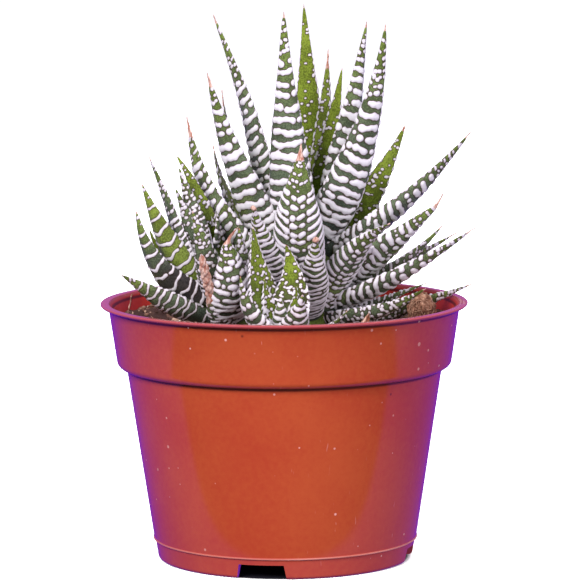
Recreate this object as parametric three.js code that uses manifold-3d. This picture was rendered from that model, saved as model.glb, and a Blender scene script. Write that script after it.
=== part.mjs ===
// Zebra haworthia in a round nursery pot: three leaf rosettes rooted in soil.
// Millimetres, +Z up. The origin is on the standing plane, on the pot's axis; -Y is the front.
import * as THREE from "three";
import { mergeVertices } from "three/addons/utils/BufferGeometryUtils.js";
import Module from "manifold-3d";

const wasm = await Module();
wasm.setup();

// ---------------------------------------------------------------- driving dimensions
const RIM_RADIUS = 52.5;
const POT_HEIGHT = 73.7;
const LIP_THICKNESS = 0.8;
const LIP_ROUNDING = 0.35;
const LIP_WIDTH = 2.5;
const LIP_UNDERSIDE = 72.2;
const WALL = 1.3;
const COLLAR_TOP_RADIUS = 50.1;
const COLLAR_FOOT_RADIUS = 47.9;
const COLLAR_FOOT_HEIGHT = 55.2;
const COLLAR_CORNER = 2.2;
const BODY_TOP_RADIUS = 45.1;
const BODY_FOOT_RADIUS = 37.7;
const RIDGE_HEIGHT = 6;
const RIDGE_PROUD = 0.35;
const FOOT_OUTER_RADIUS = 36.6;
const FOOT_INNER_RADIUS = 33.6;
const FOOT_ROUNDING = 1.2;
const FOOT_DRAFT = 0.5;
const FLOOR_UNDERSIDE = 4.6;
const FLOOR_TOP = 6.2;
const FLOOR_CORNER = 1.5;
const NOTCH_COUNT = 4;
const NOTCH_WIDTH = 14.6;
const NOTCH_HEIGHT = 4.2;
const NOTCH_SLOPE = 0.9;
const NOTCH_REACH = 8;
const CUT_PAST = 1;
const NOTCH_TURN = -10.7;
const DRAIN_COUNT = 8;
const DRAIN_RADIUS = 3.2;
const DRAIN_CIRCLE_RADIUS = 24;
const DRAIN_SEGMENTS = 12;
const POT_SEGMENTS = 56;

const FIT_GAP = 0.3;
const SOIL_LEVEL = 63.6;
const SOIL_CROWN = 0.9;
const SOIL_LUMP = 0.55;
const SOIL_BANK = 5;
const SOIL_BANK_START = 34;
const SOIL_BANK_END = 46;
const SOIL_SEGMENTS = 48;
const SOIL_RINGS = 9;
const SOIL_EDGE_INSET = 0.2;
const ROOT_DEPTH = 5;

const LEAF_THICKNESS_SHARE = 0.34;
const LEAF_LEAST_THICKNESS = 0.7;
const LEAF_EDGE_DEPTH_SHARE = 0.12;
const LEAF_SHOULDER_SHARE = 0.58;
const LEAF_SIDES = 5;
const LEAF_BASE_SHARE = 0.8;
const LEAF_WIDEST_AT = 0.6;
const LEAF_TAPER = 1.1;
const LEAF_TAPER_SOFTNESS = 6;
const FAR_LEAF_BOW = 3;
const FAR_LEAF_LEANS = { high: 36, low: 58, spread: 6 };
const LEAF_HOLLOW_SHARE = 0.05;
const BAND_SPACING = 5.2;
const BAND_RISE = 0.42;
const BAND_EDGE_SHARE = 0.5;
const FEWEST_BANDS = 4;
const FOCUS_HEIGHT = 66;
const ROOT_REACH = 0.7;
const CORE_SEGMENTS = 12;
const WELD_DISTANCE = 1e-3;
const LEAST_EDGE = 0.02;

const PEAT_LUMP_RADIUS = 3.7;
const PEAT_LUMP_STRETCH = 1.35;
const PEAT_LUMP_SUNK = 0.8;
const PEAT_LUMP_UNEVENNESS = 0.12;
const PEAT_LUMP_PLACE = [39.2, 1];

// ---------------------------------------------------------------- small helpers
const radians = THREE.MathUtils.degToRad;
const point = (x, y, z) => new THREE.Vector3(x, y, z);

/** The closed manifold solid of a geometry, with its shared vertices merged. */
function solidOf(geometry) {
  const bare = geometry.clone();
  bare.deleteAttribute("normal");
  bare.deleteAttribute("uv");
  const merged = mergeVertices(bare, WELD_DISTANCE);
  const mesh = new wasm.Mesh({
    numProp: 3,
    vertProperties: new Float32Array(merged.attributes.position.array),
    triVerts: new Uint32Array(merged.index.array),
  });
  return new wasm.Manifold(mesh);
}

/** A BufferGeometry from a manifold solid. */
function geometryOf(solid) {
  const { vertProperties, triVerts } = solid.getMesh();
  const geometry = new THREE.BufferGeometry();
  geometry.setAttribute("position", new THREE.BufferAttribute(new Float32Array(vertProperties), 3));
  geometry.setIndex(new THREE.BufferAttribute(new Uint32Array(triVerts), 1));
  geometry.computeVertexNormals();
  return geometry;
}

/** Joins solids and keeps the outer skin of the largest body, so that no pocket stays sealed inside. */
function joined(solids) {
  const whole = solids.reduce((all, next) => all.add(next));
  const skins = solidOf(geometryOf(whole.simplify(LEAST_EDGE))).decompose();
  return skins.reduce((largest, skin) => (skin.volume() > largest.volume() ? skin : largest));
}

/** Turns a closed outline of [radius, height] pairs about the Z axis. */
function turned(outline, segments) {
  const points = outline.map(([radius, height]) => new THREE.Vector2(radius, height));
  const geometry = new THREE.LatheGeometry(points, segments);
  return geometry.rotateX(Math.PI / 2);
}

/** Linear reading of a rising list of [position, value] pairs. */
function along(pairs, position) {
  const last = pairs.length - 1;
  const above = pairs.findIndex(([start]) => start >= position);
  if (above === 0) return pairs[0][1];
  if (above < 0) return pairs[last][1];
  const [start, from] = pairs[above - 1];
  const [end, to] = pairs[above];
  return THREE.MathUtils.mapLinear(position, start, end, from, to);
}

/** A draw between 0 and 1 that is the same each time for the same number. */
function draw(number) {
  const wave = Math.sin(number * 127.1 + 311.7) * 43758.5453;
  return wave - Math.floor(wave);
}

function meshOf(name, geometry, material) {
  const mesh = new THREE.Mesh(geometry, material);
  mesh.name = name;
  return mesh;
}

// ---------------------------------------------------------------- materials
const potPlastic = new THREE.MeshStandardMaterial({ color: 0xc4502c, roughness: 0.3, metalness: 0 });
const soilMaterial = new THREE.MeshStandardMaterial({ color: 0x4b3326, roughness: 1, metalness: 0 });
const leafMaterial = new THREE.MeshStandardMaterial({ color: 0x51713a, roughness: 0.5, metalness: 0 });
const peatMaterial = new THREE.MeshStandardMaterial({ color: 0x7b5638, roughness: 1, metalness: 0 });

// ---------------------------------------------------------------- pot
/** Arc points about a centre, from one angle to another in degrees. */
function arc(centreRadius, centreHeight, radius, from, to, steps) {
  return Array.from({ length: steps + 1 }, (_, step) => {
    const angle = radians(from + ((to - from) * step) / steps);
    return [centreRadius + radius * Math.cos(angle), centreHeight + radius * Math.sin(angle)];
  });
}

const outerWall = [
  [FOOT_INNER_RADIUS, 0],
  ...arc(FOOT_OUTER_RADIUS - FOOT_ROUNDING, FOOT_ROUNDING, FOOT_ROUNDING, -90, 0, 3),
  [BODY_FOOT_RADIUS - RIDGE_PROUD, RIDGE_HEIGHT - RIDGE_PROUD],
  [BODY_FOOT_RADIUS + RIDGE_PROUD, RIDGE_HEIGHT],
  [BODY_FOOT_RADIUS, RIDGE_HEIGHT + RIDGE_PROUD],
  [BODY_TOP_RADIUS, COLLAR_FOOT_HEIGHT],
  ...arc(COLLAR_FOOT_RADIUS - COLLAR_CORNER, COLLAR_FOOT_HEIGHT + COLLAR_CORNER, COLLAR_CORNER, -80, 0, 4),
  [COLLAR_TOP_RADIUS, LIP_UNDERSIDE],
  [RIM_RADIUS - LIP_ROUNDING, POT_HEIGHT - LIP_THICKNESS],
  ...arc(RIM_RADIUS - LIP_ROUNDING, POT_HEIGHT - LIP_ROUNDING, LIP_ROUNDING, -20, 90, 3),
];

/** The inner wall from the lip down, as [radius, height]; the soil follows it. */
const innerWall = [
  [RIM_RADIUS - LIP_WIDTH, POT_HEIGHT - LIP_ROUNDING / 2],
  [COLLAR_TOP_RADIUS - WALL, LIP_UNDERSIDE],
  [COLLAR_FOOT_RADIUS - WALL, COLLAR_FOOT_HEIGHT + COLLAR_CORNER],
  [BODY_TOP_RADIUS - WALL, COLLAR_FOOT_HEIGHT - WALL / 3],
  [BODY_FOOT_RADIUS - WALL, FLOOR_TOP + FLOOR_CORNER],
  [BODY_FOOT_RADIUS - WALL - FLOOR_CORNER, FLOOR_TOP],
];

const floor = [
  [0, FLOOR_TOP],
  [0, FLOOR_UNDERSIDE],
  [FOOT_INNER_RADIUS - FOOT_DRAFT, FLOOR_UNDERSIDE],
];

/** A wedge with sloping ends that opens the foot ring at one notch. */
function notchCutter(index) {
  const half = NOTCH_WIDTH / 2;
  const shape = new THREE.Shape();
  shape.moveTo(-half, -CUT_PAST);
  shape.lineTo(half, -CUT_PAST);
  shape.lineTo(half - NOTCH_SLOPE, NOTCH_HEIGHT);
  shape.lineTo(NOTCH_SLOPE - half, NOTCH_HEIGHT);
  const geometry = new THREE.ExtrudeGeometry(shape, { depth: NOTCH_REACH, bevelEnabled: false });
  geometry.rotateX(Math.PI / 2);
  geometry.translate(0, NOTCH_REACH - BODY_FOOT_RADIUS - CUT_PAST, 0);
  geometry.rotateZ(radians(NOTCH_TURN + (360 * index) / NOTCH_COUNT));
  return solidOf(geometry);
}

/** A plain cylinder through the pot's floor. */
function drainCutter(radius, angle) {
  const depth = FLOOR_TOP - FLOOR_UNDERSIDE + 2 * CUT_PAST;
  const geometry = new THREE.CylinderGeometry(DRAIN_RADIUS, DRAIN_RADIUS, depth, DRAIN_SEGMENTS);
  geometry.rotateX(Math.PI / 2);
  geometry.translate(radius, 0, (FLOOR_TOP + FLOOR_UNDERSIDE) / 2);
  geometry.rotateZ(radians(angle));
  return solidOf(geometry);
}

function potSolid() {
  const outline = [...outerWall, ...innerWall, ...floor];
  outline.push(outline[0]);
  let pot = solidOf(turned(outline, POT_SEGMENTS));
  for (let index = 0; index < NOTCH_COUNT; index += 1) {
    pot = pot.subtract(notchCutter(index));
  }
  pot = pot.subtract(drainCutter(0, 0));
  for (let index = 0; index < DRAIN_COUNT; index += 1) {
    pot = pot.subtract(drainCutter(DRAIN_CIRCLE_RADIUS, (360 * index) / DRAIN_COUNT));
  }
  return pot;
}

// ---------------------------------------------------------------- rosettes
/**
 * One leaf: its height on the core, its tip, its width, its bends outwards and sideways, its roll,
 * and where it is widest, as a share of its length from the tip.
 */
function leaf(height, tip, width, bow, sway, roll = 0, widest = LEAF_WIDEST_AT) {
  return { height, tip: point(...tip), width, bow, sway, roll, widest };
}

/** Leaves of the far side by rule: they step round the core and lean out further as they go down. */
function farLeaves(core, { count, from, to, high, low, longest, shortest, width }) {
  return Array.from({ length: count }, (_, index) => {
    const row = index % 2;
    const azimuth = radians(from + ((to - from) * index) / (count - 1));
    const height = row ? low : high;
    const upright = row ? FAR_LEAF_LEANS.low : FAR_LEAF_LEANS.high;
    const lean = radians(upright + FAR_LEAF_LEANS.spread * draw(index + count));
    const length = row ? shortest : longest;
    const outward = point(Math.cos(azimuth), Math.sin(azimuth), 0);
    const foot = core.foot.clone().addScaledVector(core.axis, height);
    const tip = foot.addScaledVector(outward, length * Math.sin(lean));
    tip.z += length * Math.cos(lean);
    return leaf(height, tip.toArray(), width, FAR_LEAF_BOW, 0);
  });
}

/** A tapering core whose radius is read from [height, radius] pairs. */
function coreOf(foot, top, radii) {
  const axis = top.clone().sub(foot).normalize();
  return { foot, axis, radii };
}

/** The leaf's share of its full width, from its tip (0) to its root (1): nearly straight, then full. */
function widthShare(fromTip, widest) {
  const rise = (fromTip / widest) ** LEAF_TAPER;
  const body = rise / (1 + rise ** LEAF_TAPER_SOFTNESS) ** (1 / LEAF_TAPER_SOFTNESS);
  const past = Math.max(0, fromTip - widest) / (1 - widest);
  return body * (1 - (1 - LEAF_BASE_SHARE) * past ** 2);
}

/** The leaf's curved centre line, with the frame that its section stands in. */
function leafCourse(core, { height, tip, bow, sway, roll }) {
  const station = core.foot.clone().addScaledVector(core.axis, height);
  const outward = tip.clone().sub(station).projectOnPlane(core.axis).normalize();
  const root = station.addScaledVector(outward, along(core.radii, height) * ROOT_REACH);
  const chord = tip.clone().sub(root);
  const middle = root.clone().add(tip).multiplyScalar(0.5);
  const focus = core.foot.clone().addScaledVector(core.axis, FOCUS_HEIGHT);
  const inward = focus.sub(middle).projectOnPlane(chord.clone().normalize()).normalize();
  const side = chord.normalize().clone().cross(inward);
  const control = middle.addScaledVector(inward, -2 * bow).addScaledVector(side, 2 * sway);
  inward.applyAxisAngle(chord, radians(roll));
  return { curve: new THREE.QuadraticBezierCurve3(root, control, tip), inward };
}

/** A closed leaf: rings of five points whose back rises in cross bands. */
function leafSolid(core, sizes) {
  const { curve, inward } = leafCourse(core, sizes);
  const bands = Math.max(FEWEST_BANDS, Math.round(curve.getLength() / BAND_SPACING));
  const rings = 2 * bands;
  const positions = [];
  const add = (place) => positions.push(place.x, place.y, place.z);
  for (let ring = 0; ring < rings; ring += 1) {
    const fromRoot = ring / rings;
    const centre = curve.getPoint(fromRoot);
    const tangent = curve.getTangent(fromRoot);
    const face = inward.clone().projectOnPlane(tangent).normalize();
    const across = tangent.clone().cross(face);
    const share = widthShare(1 - fromRoot, sizes.widest);
    const half = Math.max(LEAF_LEAST_THICKNESS, sizes.width * share) / 2;
    const deep = Math.max(LEAF_LEAST_THICKNESS, sizes.width * share * LEAF_THICKNESS_SHARE);
    const rise = ring % 2 ? BAND_RISE * Math.min(1, 2 * share) : 0;
    const edge = half + rise * BAND_EDGE_SHARE;
    const shoulder = half * LEAF_SHOULDER_SHARE + rise * BAND_EDGE_SHARE;
    const section = [
      [edge, -deep * LEAF_EDGE_DEPTH_SHARE],
      [shoulder, -deep - rise],
      [-shoulder, -deep - rise],
      [-edge, -deep * LEAF_EDGE_DEPTH_SHARE],
      [0, -LEAF_HOLLOW_SHARE * sizes.width * share],
    ];
    section.forEach(([sideways, inwards]) => {
      add(centre.clone().addScaledVector(across, sideways).addScaledVector(face, inwards));
    });
  }
  add(curve.getPoint(0));
  add(curve.getPoint(1));
  return solidOf(ringedGeometry(positions, rings, LEAF_SIDES));
}

/** Skins rings of points and closes both ends on the two points that follow them. */
function ringedGeometry(positions, rings, sides) {
  const index = [];
  const startCap = rings * sides;
  for (let ring = 0; ring < rings - 1; ring += 1) {
    for (let side = 0; side < sides; side += 1) {
      const a = ring * sides + side;
      const b = ring * sides + ((side + 1) % sides);
      index.push(a, b, b + sides, a, b + sides, a + sides);
    }
  }
  for (let side = 0; side < sides; side += 1) {
    const next = (side + 1) % sides;
    const last = (rings - 1) * sides;
    index.push(startCap, next, side);
    index.push(startCap + 1, last + side, last + next);
  }
  const geometry = new THREE.BufferGeometry();
  geometry.setAttribute("position", new THREE.Float32BufferAttribute(positions, 3));
  geometry.setIndex(index);
  return geometry;
}

/** Stands a solid made about the Z axis on a core's foot, along the core's axis. */
function onCore(core, geometry) {
  const upright = new THREE.Quaternion().setFromUnitVectors(point(0, 0, 1), core.axis);
  geometry.applyQuaternion(upright);
  geometry.translate(core.foot.x, core.foot.y, core.foot.z);
  return solidOf(geometry);
}

/** The core: a turned solid that stands in the soil and carries the leaf roots. */
function coreSolid(core) {
  const side = core.radii.map(([height, radius]) => [radius, height]);
  const [footRadius] = side[0];
  const [, top] = side[side.length - 1];
  const outline = [[0, -ROOT_DEPTH], [footRadius, -ROOT_DEPTH], ...side, [0, top + 1]];
  return onCore(core, turned(outline, CORE_SEGMENTS));
}

/** The plain hole in the soil that a core stands in. */
function coreHole(core) {
  const [[, footRadius]] = core.radii;
  const radius = footRadius + FIT_GAP;
  const outline = [[0, -ROOT_DEPTH - FIT_GAP], [radius, -ROOT_DEPTH - FIT_GAP], [radius, 2 * ROOT_DEPTH]];
  return onCore(core, turned([...outline, [0, 2 * ROOT_DEPTH]], 2 * CORE_SEGMENTS));
}

const MOTHER = coreOf(point(6, 3, 65), point(6, 4, 98), [[0, 8], [12, 9.5], [24, 7.5], [33, 3]]);
const LEFT = coreOf(point(-15, -9, 65), point(-23, -9, 93), [[0, 6], [8, 6.5], [18, 5], [28, 2]]);
const FRONT = coreOf(point(-0.5, -34, 65), point(-0.5, -34, 71), [[0, 4.5], [3, 4], [6, 1.5]]);

const motherLeaves = [
  // inner ring, nearly upright
  leaf(24, [-20, 9, 155.5], 13, -2.5, 0, -12),
  leaf(23, [0.5, -9, 157], 14.5, 2, 0),
  leaf(22, [6.5, 15, 157.5], 12, 1.5, 1),
  leaf(29, [13, 13, 144.5], 8, 0.5, 0),
  leaf(30, [17, 6, 139.5], 8, 0, 0, 60),
  leaf(26, [23.5, 9, 153], 12, 0.5, 0, -50),
  leaf(27, [28.5, -9, 153], 14.5, 2.5, -0.5, -45),
  leaf(20, [-21, -7, 140], 12, 1.5, 0.5, 30),
  leaf(26, [-17.5, 12, 133.5], 8, 4, 0),
  // second ring, leaning out
  leaf(22, [35, 16, 122.5], 12, 2, 0.5, 50),
  leaf(23, [53.5, 2, 122], 12.5, 2, 0, -20),
  leaf(17, [-27, 2, 126.5], 14, 5, 0.5, -15),
  leaf(20, [-20, 18, 115.5], 8, 4, -1),
  leaf(14, [5, -22, 121], 14.5, 7, 1, 0, 0.45),
  // outer ring, spreading over the soil
  leaf(9, [-8.5, -25, 104], 10, 1, 1, 0, 0.42),
  leaf(5, [9, -24, 95], 10, 0.5, 0, 0, 0.5),
  leaf(7, [30, -18, 98], 12, -4, 0.5, -10, 0.5),
  leaf(13, [45, -8, 104.5], 11, 1, -0.5, -35),
  leaf(12, [46, 10, 95.5], 9, 2.5, 0.5, -20),
  leaf(6, [50, 14, 92], 8, -1, 0, -20),
  leaf(8, [54.5, -10, 96], 10, 2, 0.5, -20),
  leaf(3, [54.5, 13, 78], 8.5, 1.5, 0, -40),
  leaf(3, [41.5, 22, 76], 8, 0, 0, -30),
  ...farLeaves(MOTHER, {
    count: 8, from: 56, to: 150, high: 17, low: 8, longest: 50, shortest: 42, width: 12,
  }),
];

const leftLeaves = [
  leaf(15, [-30.5, -5, 116.5], 9, -2.5, 3, 20),
  leaf(25, [-29.5, -11, 113.5], 7, 0.5, -0.5),
  leaf(23, [-30.5, -14, 108], 7, -0.5, 0),
  leaf(17, [-38, -8, 116.5], 10, 1, 0, 15),
  leaf(14, [-40, 0, 107], 12, 2, -0.5, 35),
  leaf(12, [-42, -12, 101.5], 12, 6.5, 0.5, 30),
  leaf(9, [-38.5, 4, 94.5], 8, 3, -0.5),
  leaf(7, [-16, -27, 97.5], 13.5, 2.5, 0.5, 0, 0.36),
  leaf(7, [-45.5, -18, 84], 11, 0, 0, 20, 0.5),
  leaf(3, [-23, -31, 91.5], 7, 2, 1),
  ...farLeaves(LEFT, {
    count: 4, from: 108, to: 150, high: 14, low: 6, longest: 30, shortest: 22, width: 9,
  }),
];

const frontLeaves = [
  leaf(5, [-8.5, -26, 98], 14, 1.5, 0, 0, 0.75),
  leaf(6, [0.5, -25, 93], 11, 2, 2, 0, 0.7),
  leaf(4, [-12, -44, 86.5], 9, 2, 0.5),
  leaf(4, [5, -46, 81.5], 10, 1, 0),
];

function rosetteSolid(core, leaves) {
  return joined([coreSolid(core), ...leaves.map((sizes) => leafSolid(core, sizes))]);
}

// ---------------------------------------------------------------- soil
/** Height of the lumpy soil surface at a place: low round the stems and banked up against the wall. */
function soilHeight(x, y) {
  const crown = SOIL_CROWN * (1 - (x * x + y * y) / COLLAR_FOOT_RADIUS ** 2);
  const bank = SOIL_BANK * THREE.MathUtils.smoothstep(Math.hypot(x, y), SOIL_BANK_START, SOIL_BANK_END);
  const coarse = Math.sin(0.31 * x + 1.3) * Math.cos(0.27 * y - 0.4);
  const fine = Math.sin(0.83 * x - 0.52 * y) * Math.sin(0.61 * y + 0.9);
  return SOIL_LEVEL + crown + bank + SOIL_LUMP * (0.6 * coarse + 0.4 * fine);
}

/** The soil's side outline: the pot's inner wall, set in by the fitting gap, up to the surface. */
function soilSide() {
  const wall = innerWall.map(([radius, height]) => [height, radius - FIT_GAP]).reverse();
  const [floor, floorCorner, shoulder, collarCorner] = wall.map(([height]) => height);
  const edge = SOIL_LEVEL + SOIL_BANK - SOIL_CROWN - SOIL_LUMP;
  const levels = [floor + FIT_GAP, floorCorner + FIT_GAP, shoulder, collarCorner + FIT_GAP, edge];
  return levels.map((height) => [along(wall, height), height]);
}

/** Soil with a plain hole for each core. */
function soilSolid(cores) {
  const side = soilSide();
  const edgeRadius = side[side.length - 1][0];
  const surface = Array.from({ length: SOIL_RINGS }, (_, ring) => edgeRadius * (1 - ring / SOIL_RINGS));
  const positions = [];
  for (const [radius, height] of side) {
    pushRing(positions, radius, () => height);
  }
  for (const radius of surface) {
    pushRing(positions, radius - SOIL_EDGE_INSET, soilHeight);
  }
  positions.push(0, 0, side[0][1]);
  positions.push(0, 0, soilHeight(0, 0));
  const rings = side.length + surface.length;
  let soil = solidOf(ringedGeometry(positions, rings, SOIL_SEGMENTS));
  for (const core of cores) {
    soil = soil.subtract(coreHole(core));
  }
  return soil;
}

function pushRing(positions, radius, heightAt) {
  for (let step = 0; step < SOIL_SEGMENTS; step += 1) {
    const angle = (2 * Math.PI * step) / SOIL_SEGMENTS;
    const x = radius * Math.cos(angle);
    const y = radius * Math.sin(angle);
    positions.push(x, y, heightAt(x, y));
  }
}

// ---------------------------------------------------------------- peat lump
/** A clod of fibrous peat: a ball drawn upwards and made uneven by a formula, pressed down on the soil. */
function peatLumpGeometry() {
  const geometry = mergeVertices(new THREE.IcosahedronGeometry(PEAT_LUMP_RADIUS, 2));
  const places = geometry.attributes.position;
  const [aside, behind] = PEAT_LUMP_PLACE;
  const middle = soilHeight(aside, behind) + FIT_GAP + PEAT_LUMP_STRETCH * PEAT_LUMP_SUNK * PEAT_LUMP_RADIUS;
  for (let index = 0; index < places.count; index += 1) {
    const place = new THREE.Vector3().fromBufferAttribute(places, index);
    const wave = Math.sin(1.9 * place.x + 1) * Math.cos(1.7 * place.y) + 0.7 * Math.sin(2.3 * place.z);
    place.multiplyScalar(1 + PEAT_LUMP_UNEVENNESS * wave);
    const x = aside + place.x;
    const y = behind + place.y;
    const height = Math.max(middle + PEAT_LUMP_STRETCH * place.z, soilHeight(x, y) + FIT_GAP);
    places.setXYZ(index, x, y, height);
  }
  return geometry;
}

// ---------------------------------------------------------------- assembly
const group = new THREE.Group();
group.add(meshOf("pot", geometryOf(potSolid()), potPlastic));
group.add(meshOf("soil", geometryOf(soilSolid([MOTHER, LEFT, FRONT])), soilMaterial));
group.add(meshOf("rosette_main", geometryOf(rosetteSolid(MOTHER, motherLeaves)), leafMaterial));
group.add(meshOf("rosette_left", geometryOf(rosetteSolid(LEFT, leftLeaves)), leafMaterial));
group.add(meshOf("rosette_front", geometryOf(rosetteSolid(FRONT, frontLeaves)), leafMaterial));
group.add(meshOf("peat_lump", peatLumpGeometry(), peatMaterial));

export default group;
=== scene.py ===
import logging
import math
from collections.abc import Sequence
from dataclasses import dataclass, field
from enum import Enum

import bmesh
import bpy
import numpy as np
from mathutils import Matrix, Vector, noise


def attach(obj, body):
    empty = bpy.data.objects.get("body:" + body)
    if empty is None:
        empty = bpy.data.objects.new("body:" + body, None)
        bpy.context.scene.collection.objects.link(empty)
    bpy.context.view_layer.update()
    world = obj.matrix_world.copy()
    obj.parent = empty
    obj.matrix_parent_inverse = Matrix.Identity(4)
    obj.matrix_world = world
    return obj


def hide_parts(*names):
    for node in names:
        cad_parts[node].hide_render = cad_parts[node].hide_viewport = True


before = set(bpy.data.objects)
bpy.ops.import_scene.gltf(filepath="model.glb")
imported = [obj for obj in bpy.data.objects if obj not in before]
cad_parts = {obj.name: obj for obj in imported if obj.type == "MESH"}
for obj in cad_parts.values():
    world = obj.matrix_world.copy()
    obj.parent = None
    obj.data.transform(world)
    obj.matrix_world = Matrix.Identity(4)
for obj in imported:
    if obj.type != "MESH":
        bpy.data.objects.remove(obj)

LOG = logging.getLogger("potted_haworthia")
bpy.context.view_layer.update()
BODY = "root"
MM = 0.001
TINY = 1e-9
FULL_TURN = 2.0 * math.pi
GOLDEN_ANGLE = math.pi * (3.0 - math.sqrt(5.0))
PHASE_RANGE = 6.28

Array = np.ndarray
Triple = tuple[float, float, float]
Faces = list[tuple[int, ...]]
Pair = tuple[float, float]
Pairs = tuple[Pair, ...]
Outline = list[Pair]
Colour = tuple[float, float, float, float]
Material = bpy.types.Material
Node = bpy.types.Node
NodeTree = bpy.types.NodeTree
Piece = bpy.types.Object
Socket = bpy.types.NodeSocket


# -------- small tools
def rgb(red: float, green: float, blue: float) -> Colour:
    """Returns a scene-linear colour from screen values between 0 and 255.

    Args:
        red: Screen red.
        green: Screen green.
        blue: Screen blue.

    Returns:
        The linear colour with full alpha.
    """
    parts = [channel / 255.0 for channel in (red, green, blue)]
    linear = [part / 12.92 if part <= 0.04045 else ((part + 0.055) / 1.055) ** 2.4 for part in parts]
    return (linear[0], linear[1], linear[2], 1.0)


def unit(vectors: Array) -> Array:
    """Returns the vectors scaled to length one along their last axis."""
    return vectors / np.maximum(np.linalg.norm(vectors, axis=-1, keepdims=True), TINY)


def smooth(values: Array, low: float, high: float) -> Array:
    """Returns a soft step of values, from 0 at low to 1 at high."""
    share = np.clip((values - low) / (high - low), 0.0, 1.0)
    return share * share * (3.0 - 2.0 * share)


def ring_angles(count: int) -> Array:
    """Returns equal steps of angle once round a ring."""
    return np.linspace(0.0, FULL_TURN, count, endpoint=False)


def new_object(name: str, points: Array, faces: Sequence[Sequence[int]]) -> Piece:
    """Makes a mesh object from points in millimetres and links it to the scene.

    Args:
        name: The object's name.
        points: One row of x, y, z for each vertex.
        faces: The vertex numbers of each face.

    Returns:
        The new object, shaded smooth.
    """
    mesh = bpy.data.meshes.new(name)
    mesh.from_pydata((points * MM).tolist(), [], faces)
    mesh.shade_smooth()
    made = bpy.data.objects.new(name, mesh)
    bpy.context.scene.collection.objects.link(made)
    return made


def keep_values(made: Piece, name: str, values: Array) -> None:
    """Stores one number for each vertex under a name that a material reads."""
    layer = made.data.attributes.new(name, "FLOAT", "POINT")
    layer.data.foreach_set("value", np.asarray(values, dtype=np.float32))


def place(made: Piece, finish: Material, slot: str, *nodes: str) -> None:
    """Dresses a piece, rides it on the pot's one body and hides the solids that it stands for.

    Args:
        made: The piece.
        finish: Its material.
        slot: The record's material slot; it is not used.
        nodes: The solids that the piece replaces.
    """
    made.data.materials.append(finish)
    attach(made, BODY)
    if nodes:
        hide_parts(*nodes)
    triangles = sum(len(face.vertices) - 2 for face in made.data.polygons)
    LOG.info("%s: %d triangles", made.name, triangles)


def ring_faces(rings: int, columns: int) -> Faces:
    """Faces between stacked rings of points that are numbered ring by ring.

    Args:
        rings: How many rings.
        columns: How many points in a ring.

    Returns:
        Four vertex numbers for each face.
    """
    faces = []
    for ring in range(rings - 1):
        low = ring * columns
        for column in range(columns):
            after = (column + 1) % columns
            faces.append((low + column, low + after, low + columns + after, low + columns + column))
    return faces


def closed_faces(rings: int, columns: int) -> Faces:
    """Faces of stacked rings with each end drawn in to a point of its own.

    Args:
        rings: How many rings.
        columns: How many points in a ring.

    Returns:
        The faces; the first ring's end point and the last ring's are numbered after all rings.
    """
    faces = ring_faces(rings, columns)
    end = rings * columns
    last = end - columns
    for side in range(columns):
        after = (side + 1) % columns
        faces.append((after, side, end))
        faces.append((last + side, last + after, end + 1))
    return faces


@dataclass
class Heap:
    """Solids that are gathered into one mesh, with named values stored for each vertex."""

    points: list[Array] = field(default_factory=list)
    faces: Faces = field(default_factory=list)
    values: dict[str, list[Array]] = field(default_factory=dict)
    count: int = 0

    def add(self, points: Array, faces: Faces, values: dict[str, object]) -> None:
        """Adds one solid.

        Args:
            points: Its points in millimetres.
            faces: The vertex numbers of each face.
            values: A number for each vertex, or one for all, by name.
        """
        self.points.append(points)
        self.faces.extend(tuple(corner + self.count for corner in face) for face in faces)
        for name, value in values.items():
            self.values.setdefault(name, []).append(np.broadcast_to(value, len(points)))
        self.count += len(points)

    def object(self, name: str) -> Piece:
        """Makes the gathered mesh.

        Args:
            name: The object's name.

        Returns:
            The new object, with its values stored.
        """
        made = new_object(name, np.concatenate(self.points), self.faces)
        for label, blocks in self.values.items():
            keep_values(made, label, np.concatenate(blocks))
        return made


def ball(level: int) -> tuple[Array, Faces]:
    """A ball of radius one made of triangles.

    Args:
        level: How often it is divided.

    Returns:
        Its points and faces.
    """
    shape = bmesh.new()
    bmesh.ops.create_icosphere(shape, subdivisions=level, radius=1.0)
    points = np.array([vertex.co[:] for vertex in shape.verts])
    faces = [tuple(vertex.index for vertex in face.verts) for face in shape.faces]
    shape.free()
    return points, faces


def tube(path: Array, radii: Array, sides: int) -> tuple[Array, Faces]:
    """An open-ended tube along a path.

    Args:
        path: The points of its centre line.
        radii: Its radius at each point.
        sides: How many sides it has.

    Returns:
        Its points and its four-cornered faces.
    """
    askew = np.array([0.31, 0.22, 0.93])
    ahead = unit(np.gradient(path, axis=0))
    aside = unit(np.cross(ahead, askew))
    above = np.cross(ahead, aside)
    turn = ring_angles(sides)
    ring = np.cos(turn)[None, :, None] * aside[:, None, :] + np.sin(turn)[None, :, None] * above[:, None, :]
    points = path[:, None, :] + ring * radii[:, None, None]
    return points.reshape(-1, 3), ring_faces(len(path), sides)


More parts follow.
